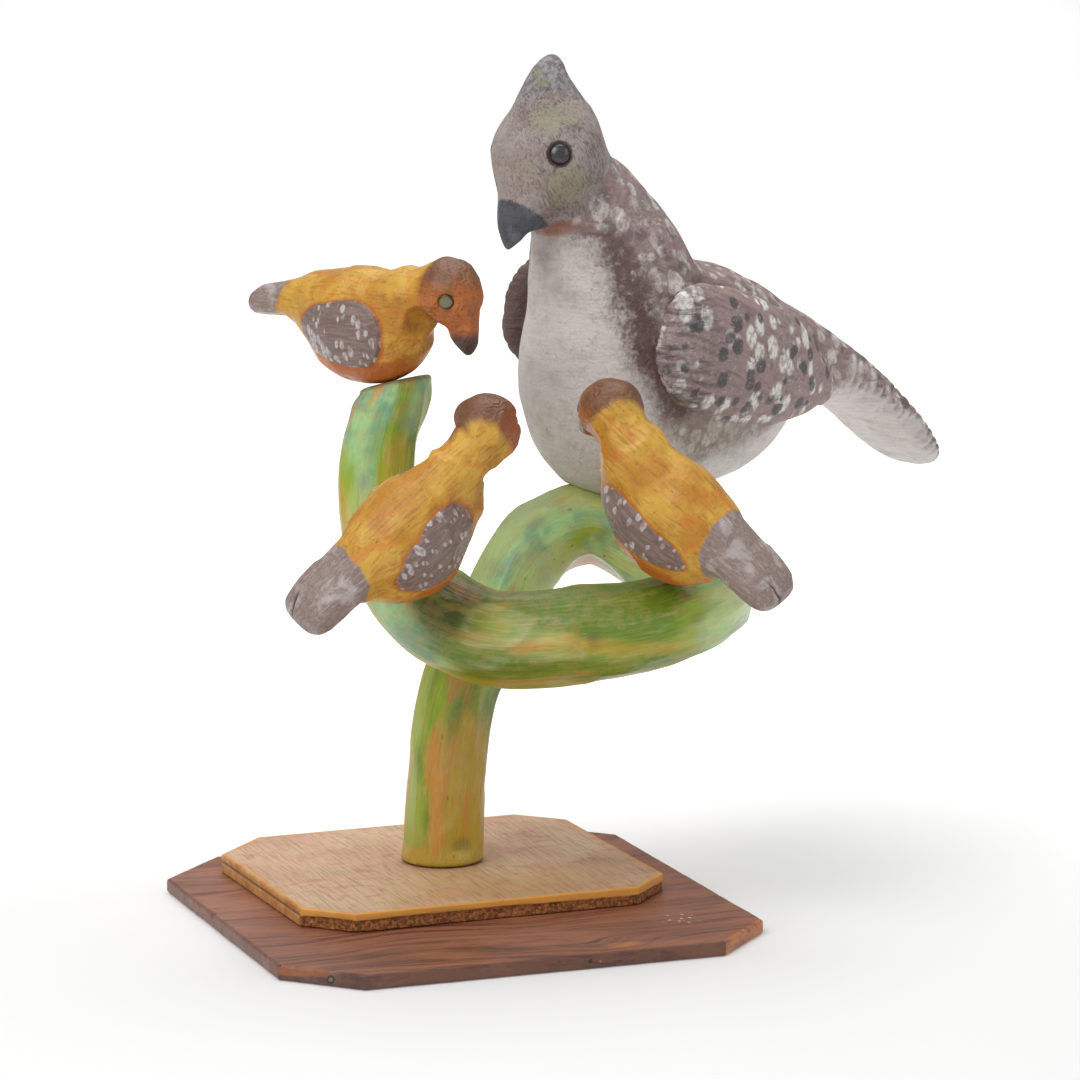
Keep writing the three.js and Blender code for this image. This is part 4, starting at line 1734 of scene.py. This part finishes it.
@dataclass
class Chick(Bird):
    """A chick with a wing patch on each side. Its turns and its patch's tilt are in degrees.

    Its turns are its heading, climb and lean and its head's own turn, and nudge is how far its
    head stands off its usual place. The patch is its middle's x and z, its half length and half
    height, its tilt and how much lower the left one is. The chest says how lean the breast is,
    glow how far the face turns to orange, and flat the plane that its head is shaved to.
    """

    kind: str = "chick"
    at: Place = (0, 0, 0)
    voxel: float = 1.05
    relief: float = 0.8
    seat: EyeSeat = EyeSeat(4.7, (54, 0, 66), (12, 19, -4), 0.34, 0.24)
    finish: Finish = ChickPaint()
    gloss: EyeGloss = EyeGloss("chick_bead", 0.4, 0.6, srgb(112, 110, 72), srgb(58, 46, 26))
    turns: tuple[float, float, float, float] = (0, 0, 0, 0)
    nudge: Place = (0, 0, 0)
    size: float = 1
    tail_width: float = 1
    chest: float = 1
    belly: float = 1
    patch: tuple[float, float, float, float, float, float] = (-20, 36, 35, 22, 0, 0)
    tail_from: float = -80
    glow: float = 1
    seed: int = 51
    patch_square: float = 2.3
    crack_depth: float = 1.4

    def __post_init__(self) -> None:
        """Sets the chick's pose, its head's turn and the places of its eyes."""
        heading, climb, lean, head = self.turns
        turn = turned(heading, "Z") @ turned(-climb, "Y") @ turned(lean, "X")
        middle = Vector((-20, 0, 42)) * self.size
        self.pose = Matrix.Translation(self.at) @ turn @ Matrix.Translation(-middle)
        neck = Vector((40 * self.size, 0, 0))
        nod = Matrix.Translation(neck + Vector(self.nudge)) @ turned(head, "Z")
        self.head_turn = nod @ Matrix.Translation(-neck)
        self.seat = replace(self.seat, start=tuple(self.size * value for value in self.seat.start))

    def forms(self) -> list[tuple[str, Form, Mover]]:
        """Gives the chick's forms at its size, with its head turned and its tail widened.

        Returns:
            For each form its name, the form and the function that places it.
        """
        body = CHICK_FORMS["body"].fuller(1, self.belly, 1)
        body = body.fuller(self.chest, self.chest / self.belly, len(body.stations) - 2)
        neck = CHICK_FORMS["neck"].fuller(self.chest, self.chest, 0)

        def plain(points: Array) -> Array:
            """Scales points to the chick's size."""
            return points * self.size

        def widened(points: Array) -> Array:
            """Scales points and widens them."""
            return points * self.size * np.array([1, self.tail_width, 1])

        def with_head(points: Array) -> Array:
            """Scales points and turns them with the head."""
            return moved_by(self.head_turn, points * self.size)

        listed = [("body", body, plain), ("neck", neck, plain), ("tail", CHICK_FORMS["tail"], widened)]
        return [*listed, *((label, CHICK_FORMS[label], with_head) for label in ("head", "beak"))]

    def from_head(self, points: Array) -> tuple[Array, Array]:
        """Says how far ahead and how high points are in the frame of the common head."""
        ahead, _, high = (moved_by(self.head_turn.inverted(), points) / self.size).T
        return ahead, high

    def carve(self, skin: Carving, away: dict[str, Array]) -> None:
        """Blends the body more than the face, pares and dents the skin, and details it.

        Args:
            skin: The joined skin in the bird's own frame.
            away: How far each vertex is from each rough form.
        """
        ahead, high = self.from_head(skin.points)
        bare = 52 + 9 * abs(math.sin(self.head_turn.to_euler().z))
        behind = ease(ahead - 0.35 * (high - 60), bare, bare - 14)
        self.blend(skin, away, Blend(reach=27, passes=150, refill=0.9), behind)
        self.blend(skin, away, Blend(reach=15, passes=60, refill=0.8))
        skin.pare(count=170, reach=16, depth=1.0, seed=self.seed, where=np.ones(len(skin.points)))
        dents = 0.5 * swell(skin.points, 12, self.seed + 1) + 0.25 * swell(skin.points, 4.5, self.seed + 2)
        skin.swell_out(0.35 * dents)
        self.raise_patches(skin)
        self.crack_tail(skin)

    def raise_patches(self, skin: Carving) -> None:
        """Cuts round the wing patch on each side, leaves it a little proud and marks it.

        Args:
            skin: The skin in the bird's own frame.
        """
        x, y, z = (skin.points / self.size).T
        middle_x, middle_z, half_long, half_high, tilt, drop = self.patch
        z = z + drop * (y > 0)
        turn = math.radians(tilt)
        along = (x - middle_x) * math.cos(turn) + (z - middle_z) * math.sin(turn)
        across = (z - middle_z) * math.cos(turn) - (x - middle_x) * math.sin(turn)
        taper = half_high * (1 + 0.22 * along / half_long)
        power = self.patch_square
        share = (np.abs(along / half_long) ** power + np.abs(across / taper) ** power) ** (1 / power)
        share += 0.05 * swell(skin.points, 9, self.seed + 3)
        beside = np.abs(y) > 8
        raised = 0.5 * ease(share, 1.0, 0.93) - 0.6 * ease(share, 1.14, 1.04) * ease(share, 0.94, 1.02)
        skin.swell_out(raised * beside)
        skin.mark(patch=ease(share, 1.16, 0.84) * beside)

    def crack_tail(self, skin: Carving) -> None:
        """Opens and marks the drying crack in the tail's end.

        Args:
            skin: The skin in the bird's own frame.
        """
        x, y, _ = (skin.points / self.size).T
        wander = 1.3 * swell(skin.points, 9, self.seed + 4) + 0.5 * swell(skin.points, 3, self.seed + 5)
        line = np.abs(y - 5 - 0.3 * (x + 110) + wander)
        crack = ease(line, 1.2, 0.3) * ease(x, -96, -108)
        skin.swell_out(-self.crack_depth * crack)
        skin.mark(crack=crack)

    def marks(self, skin: Carving, away: dict[str, Array], rings: Array) -> dict[str, Array]:
        """Gives the rust head, the beak, the orange face, the grey tail and the dark underside.

        Args:
            skin: The carved skin in the bird's own frame.
            away: How far each vertex was from each rough form.
            rings: How far each vertex is from the nearer eye, in radii of its bead.

        Returns:
            The marks by name.
        """
        x, _, z = (skin.points / self.size).T
        ahead, high = self.from_head(skin.points)
        skull = ease(np.minimum(away["head"], away["beak"]), 13, 5)
        return {
            "rust": skull * ease(ahead - 0.12 * (high - 60), 34, 52),
            "beak": ease(ahead, 58, 64) * ease(high, 44, 36) * ease(away["beak"], 6, 3),
            "face": ease(high, 82, 56) * self.glow,
            "tail": ease(self.tail_from - x + 0.35 * (z - 54), -6, 6),
            "under": ease(z, 36, 4) + 0.35 * ease(x, 24, 40) * ease(z, 50, 30),
        }


# Boards


class Side(Enum):
    """The sides of a board's outline that are dressed, numbered against the clock."""

    FRONT_LEFT = 0
    FRONT = 1
    FRONT_RIGHT = 2
    LEFT = 7


@dataclass
class Board:
    """A board with four clipped corners, in millimetres.

    Its levels are the heights that its edge is divided at, as shares of its thickness, and its
    insets are the widths of the rings cut inside its rim, so that marks there stay near the edge.
    """

    name: str
    node: str
    finish: Finish
    width: float
    depth: float
    thickness: float
    clips: tuple[float, float, float, float]
    levels: tuple[float, ...]
    rim: float
    cuts: int
    floor: float = 0
    middle: tuple[float, float] = (0, 0)
    turn: float = 0
    insets: tuple[float, ...] = (1.0, 1.4, 2.4, 4.0)

    def outline(self) -> list[tuple[float, float]]:
        """Gives the corners of the outline.

        Returns:
            The eight corners, against the clock from the left edge's front end.
        """
        x, y = self.width / 2, self.depth / 2
        front_left, front_right, back_right, back_left = self.clips
        return [
            (-x, -y + front_left),
            (-x + front_left, -y),
            (x - front_right, -y),
            (x, -y + front_right),
            (x, y - back_right),
            (x - back_right, y),
            (-x + back_left, y),
            (-x, y - back_left),
        ]

    def saw(self) -> Piece:
        """Saws the blank: the outline drawn, cut fine, raised level by level and its rims rounded.

        Returns:
            The blank, with its middle over the origin.
        """
        piece = rough_out(
            self.name, bpy.ops.mesh.primitive_circle_add, vertices=8, radius=1, fill_type="NGON"
        )

        def bearing(place: Sequence[float]) -> float:
            """Gives the direction in which a place lies from the middle."""
            return math.atan2(place[1], place[0]) % math.tau

        order = sorted(piece.data.vertices, key=lambda vertex: bearing(vertex.co))
        for vertex, (x, y) in zip(order, sorted(self.outline(), key=bearing)):
            vertex.co = (x, y, 0)
        choose_edges(piece, lambda ends: np.ones(len(ends), bool))
        bpy.ops.mesh.subdivide(number_cuts=self.cuts)
        bpy.ops.mesh.select_all(action="SELECT")
        for low, high in zip(self.levels, self.levels[1:]):
            rise = (0, 0, (high - low) * self.thickness)
            bpy.ops.mesh.extrude_region_move(TRANSFORM_OT_translate={"value": rise})
        mode("OBJECT")
        face_outwards(piece)
        choose_edges(piece, self.at_rim)
        bpy.ops.mesh.bevel(offset=self.rim, segments=4, affect="EDGES")
        bpy.ops.mesh.select_mode(type="FACE")
        bpy.ops.mesh.select_all(action="DESELECT")
        mode("OBJECT")
        for polygon in piece.data.polygons:
            polygon.select = len(polygon.vertices) > 4
        mode("EDIT")
        for width in self.insets:
            shrink = (1 - 2 * width / self.width, 1 - 2 * width / self.depth, 1)
            bpy.ops.mesh.extrude_region_move()
            bpy.ops.transform.resize(value=shrink, center_override=(0, 0, 0))
        mode("OBJECT")
        return piece

    def at_rim(self, ends: Array) -> Array:
        """Picks the edges round the top and the underside."""
        low, high = ends[:, 0, 2], ends[:, 1, 2]
        return (np.abs(low - high) < 1e-4) & ((low < 1e-3) | (low > self.thickness - 1e-3))

    def build(self) -> None:
        """Saws, wears, paints and places the board."""
        piece = self.saw()
        board = Carving(piece)
        corners = np.array(self.outline())
        runs = np.roll(corners, -1, axis=0) - corners
        outward = np.stack([runs[:, 1], -runs[:, 0]], axis=1)
        outward /= length(outward)[:, None]
        gaps = -((board.points[:, None, :2] - corners[None]) * outward[None]).sum(2)
        inside, side = gaps.min(1), gaps.argmin(1)
        for step in self.wear(board, inside, side):
            board.points[:, :2] -= outward[side] * step[:, None]
            board.write()
        pose = Matrix.Translation((*self.middle, self.floor)) @ turned(self.turn, "Z")
        board.points = moved_by(pose, board.points) * MM
        board.write()
        finish_piece(piece, self.finish, self.node, self.node, smooth_angle=35)

    def wear(self, board: Carving, inside: Array, side: Array) -> Iterator[Array]:
        """Gives how far each vertex is worn inwards, then marks the worn board.

        Args:
            board: The blank, which is worn between the two.
            inside: How far each vertex is inside the outline.
            side: The number of its nearest side.

        Yields:
            The depth of the wear in millimetres.
        """
        raise NotImplementedError


@dataclass
class LowerBoard(Board):
    """The stained plank, worn and chipped along its edges."""

    name: str = "stained_plank"
    node: str = "lower_board"
    finish: Finish = PlankStain()
    width: float = 330
    depth: float = 338
    thickness: float = 9.5
    clips: tuple[float, float, float, float] = (43, 45, 35, 50)
    levels: tuple[float, ...] = (0, 0.33, 0.5, 0.75, 1)
    rim: float = 1.7
    cuts: int = 120

    def wear(self, board: Carving, inside: Array, side: Array) -> Iterator[Array]:
        """Gives the plank's wear, chips and notch, then marks its raw ends and dark stains.

        Args:
            board: The blank, which is worn between the two.
            inside: How far each vertex is inside the outline.
            side: The number of its nearest side.

        Yields:
            The depth of the wear in millimetres.
        """
        x, y, z = board.points.T
        clip = side == Side.FRONT_LEFT.value
        wear = 0.35 + 0.35 * swell(board.points, 26, 31) + 0.3 * swell(board.points, 6, 32)
        wear = np.maximum(wear, 0) * (0.7 + 0.8 * ease(z, self.thickness - 3, self.thickness))
        chipped = clip * ease(z, 3.6, 5.6) * (0.9 + 0.5 * swell(board.points, 7, 33))
        notch = ease(np.hypot(x + self.width / 2, y - 16), 5, 1) * ease(z, 4, 8)
        yield ease(inside, 6, 1) * (wear + 1.3 * np.maximum(chipped, 0) + 2.2 * notch)
        x, _, z = board.points.T
        wall = ease(inside, 2.6, 0.8)
        along = (x + self.width / 2) / self.clips[0]
        bare = clip * ease(z - 3.5 * along, 3.0, 4.4) * ease(along, 0.8, 0.5)
        sooty = clip * (1 - bare) * 0.8 + 0.45 * (side == Side.LEFT.value)
        sooty = sooty + (side == Side.FRONT.value) * (0.6 + 0.3 * ease(x, -90, -122))
        raw = wall * bare * (0.75 + 0.4 * swell(board.points, 5, 34))
        board.mark(raw=raw, tan=wall * (side == Side.FRONT_RIGHT.value), blackened=wall * sooty)


@dataclass
class UpperBoard(Board):
    """The plywood board, with a smooth top ply over torn plies at its front."""

    name: str = "plywood_board"
    node: str = "upper_board"
    finish: Finish = PlyWash()
    width: float = 255
    depth: float = 228
    thickness: float = 12.4
    clips: tuple[float, float, float, float] = (28, 30, 28, 39)
    levels: tuple[float, ...] = (0, 0.2, 0.4, 0.5, 0.56, 0.6, 0.64, 0.7, 0.8, 1)
    rim: float = 1.0
    cuts: int = 110
    floor: float = 9.8
    middle: tuple[float, float] = (3.2, 49.3)
    turn: float = 1.2

    def wear(self, board: Carving, inside: Array, side: Array) -> Iterator[Array]:
        """Gives the torn plies, the glue line and the wear, then marks them, the walls and the lip.

        Args:
            board: The blank, which is worn between the two.
            inside: How far each vertex is inside the outline.
            side: The number of its nearest side.

        Yields:
            The depth of the wear in millimetres.
        """
        z = board.points[:, 2] / self.thickness
        front = (side <= Side.FRONT_RIGHT.value).astype(float)
        lip = 0.6 + 0.1 * swell(board.points, 34, 41)
        torn = front * ease(z, lip + 0.05, lip - 0.05)
        ragged = 1.0 + 0.6 * swell(board.points, 3.2, 42) + 0.5 * swell(board.points, 9, 43)
        glue = (1 - front) * ease(np.abs(z - 0.6), 0.09, 0.03)
        wear = 0.25 + 0.25 * swell(board.points, 18, 44)
        yield ease(inside, 5, 0.8) * (torn * ragged + 0.5 * glue + np.maximum(wear, 0))
        wall = ease(inside, 2.4, 0.9)
        painted = front * np.clip(0.9 + 0.4 * swell(board.points, 14, 45), 0, 1)
        top = ease(inside, 4.5, 1.5) * ease(z, 0.85, 0.97)
        board.mark(wall=wall, front=painted, fuzzy=wall * torn, glue=wall * glue, lip=top)


# Stage


@dataclass(frozen=True)
class FloorPaper(Finish):
    """The floor's pale paper, which glows towards and under the camera."""

    name: str = "floor_paper"
    rough: float = 0.9
    gloss: float = 0.0
    pale: Colour = srgb(226, 226, 226)
    right: Place = (1, 0, 0)
    back: Place = (0, -1, 0)

    def paint(self, bench: Bench) -> Dressing:
        """Lets the glow grow with depth within a strip that the camera looks along.

        Args:
            bench: The bench of the material's tree.

        Returns:
            The shader's inputs, and the heights of its relief with their depths in metres.
        """
        place = bench.place()
        across, depth = (
            bench.node("VectorMath", {0: place, 1: way}, operation="DOT_PRODUCT")[1]
            for way in (self.right, self.back)
        )
        glow = depth.at(0.15, -1.1, 0.12, 0.72) * bench.math("ABSOLUTE", across).at(2.6, 1.2)
        white = (1, 1, 1, 1)
        return {"Base Color": (*self.pale, 1), "Emission Color": white, "Emission Strength": glow}, []


@dataclass(frozen=True)
class Studio:
    """The pale floor, the soft lights, each with its place, side and watts, and the camera."""

    eye: Place = (-1.0802, -3.0198, 0.8043)
    right: Place = (0.93581, -0.35250, 0.0)
    up: Place = (0.06018, 0.15977, 0.98532)
    back: Place = (-0.34732, -0.92207, 0.17073)
    target: Place = (0.04, 0, 0.28)
    lens: float = 166.7
    sensor: float = 36.0
    floor_size: float = 60.0
    floor_gap: float = 0.0004
    world_strength: float = 0.36
    lights: tuple[tuple[str, Place, float, float], ...] = (
        ("key", (-1.7, -1.2, 2.4), 1.9, 51),
        ("fill", (2.2, -1.8, 1.6), 1.8, 11),
        ("top", (0.5, 0.8, 2.8), 2.0, 40),
    )

    def build(self) -> None:
        """Lays the floor, hangs the lights and sets the camera."""
        below = (0, 0, -self.floor_gap)
        add = bpy.ops.mesh.primitive_plane_add
        floor = rough_out("studio_floor", add, size=self.floor_size, location=below)
        floor.data.materials.append(FloorPaper(right=self.right, back=self.back).material())
        for name, place, size, power in self.lights:
            lamp = bpy.data.lights.new(name, "AREA")
            lamp.size = size
            lamp.energy = power
            aim = (Vector(self.target) - Vector(place)).to_track_quat("-Z", "Y").to_matrix().to_4x4()
            self.hang(name, lamp, Matrix.Translation(place) @ aim)
        scene = bpy.context.scene
        scene.world = bpy.data.worlds.new("studio")
        scene.world.use_nodes = True
        backdrop = scene.world.node_tree.nodes["Background"]
        backdrop.inputs["Color"].default_value = (1, 1, 1, 1)
        backdrop.inputs["Strength"].default_value = self.world_strength
        scene.view_settings.view_transform = "Standard"
        data = bpy.data.cameras.new("camera")
        data.lens = self.lens
        data.sensor_width = self.sensor
        turn = Matrix((self.right, self.up, self.back)).transposed().to_4x4()
        scene.camera = self.hang("camera", data, Matrix.Translation(self.eye) @ turn)

    @staticmethod
    def hang(name: str, data: bpy.types.ID, pose: Matrix) -> Piece:
        """Puts a lamp or a camera in the scene.

        Args:
            name: The new object's name.
            data: The lamp or the camera.
            pose: Where it is and how it is turned.

        Returns:
            The new object.
        """
        holder = bpy.data.objects.new(name, data)
        holder.matrix_world = pose
        bpy.context.scene.collection.objects.link(holder)
        return holder


def main() -> None:
    """Builds the carving's pieces and its studio in order."""
    logging.basicConfig(level=logging.INFO, format="%(name)s: %(message)s")
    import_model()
    effects = SharedEffects()
    for build in (effects.streaks, effects.dabs, effects.worn, effects.pits):
        build()
    LowerBoard().build()
    UpperBoard().build()
    branch = Branch()
    branch.build()
    on_post = Chick(
        branch,
        "chick_on_post",
        at=(-49, 43, 390),
        turns=(-58.6, 0, 0, 0),
        size=0.97,
        tail_width=0.9,
        tail_from=-81,
        glow=1.1,
    )
    left = Chick(
        branch,
        "chick_left",
        at=(-57, -77, 272),
        turns=(0, 37.5, 38, 44),
        nudge=(2.4, -4.3, -2.1),
        size=1.02,
        chest=0.8,
        belly=1.28,
        patch=(-21, 44, 32, 24, 8, 7),
        tail_from=-70,
        glow=0.8,
        seed=61,
        flat=(0.6987, -0.7152, 0, 70.5),
    )
    right = Chick(
        branch,
        "chick_right",
        at=(109, -104, 277),
        turns=(134, 37, -27, -30),
        size=0.98,
        tail_width=1.03,
        belly=1.25,
        patch=(-14, 36, 38, 17, 0, 0),
        tail_from=-58,
        glow=1.2,
        seed=71,
    )
    for bird in (Hen(branch), on_post, left, right):
        bird.build()
    Studio().build()


if __name__ == "__main__":
    main()
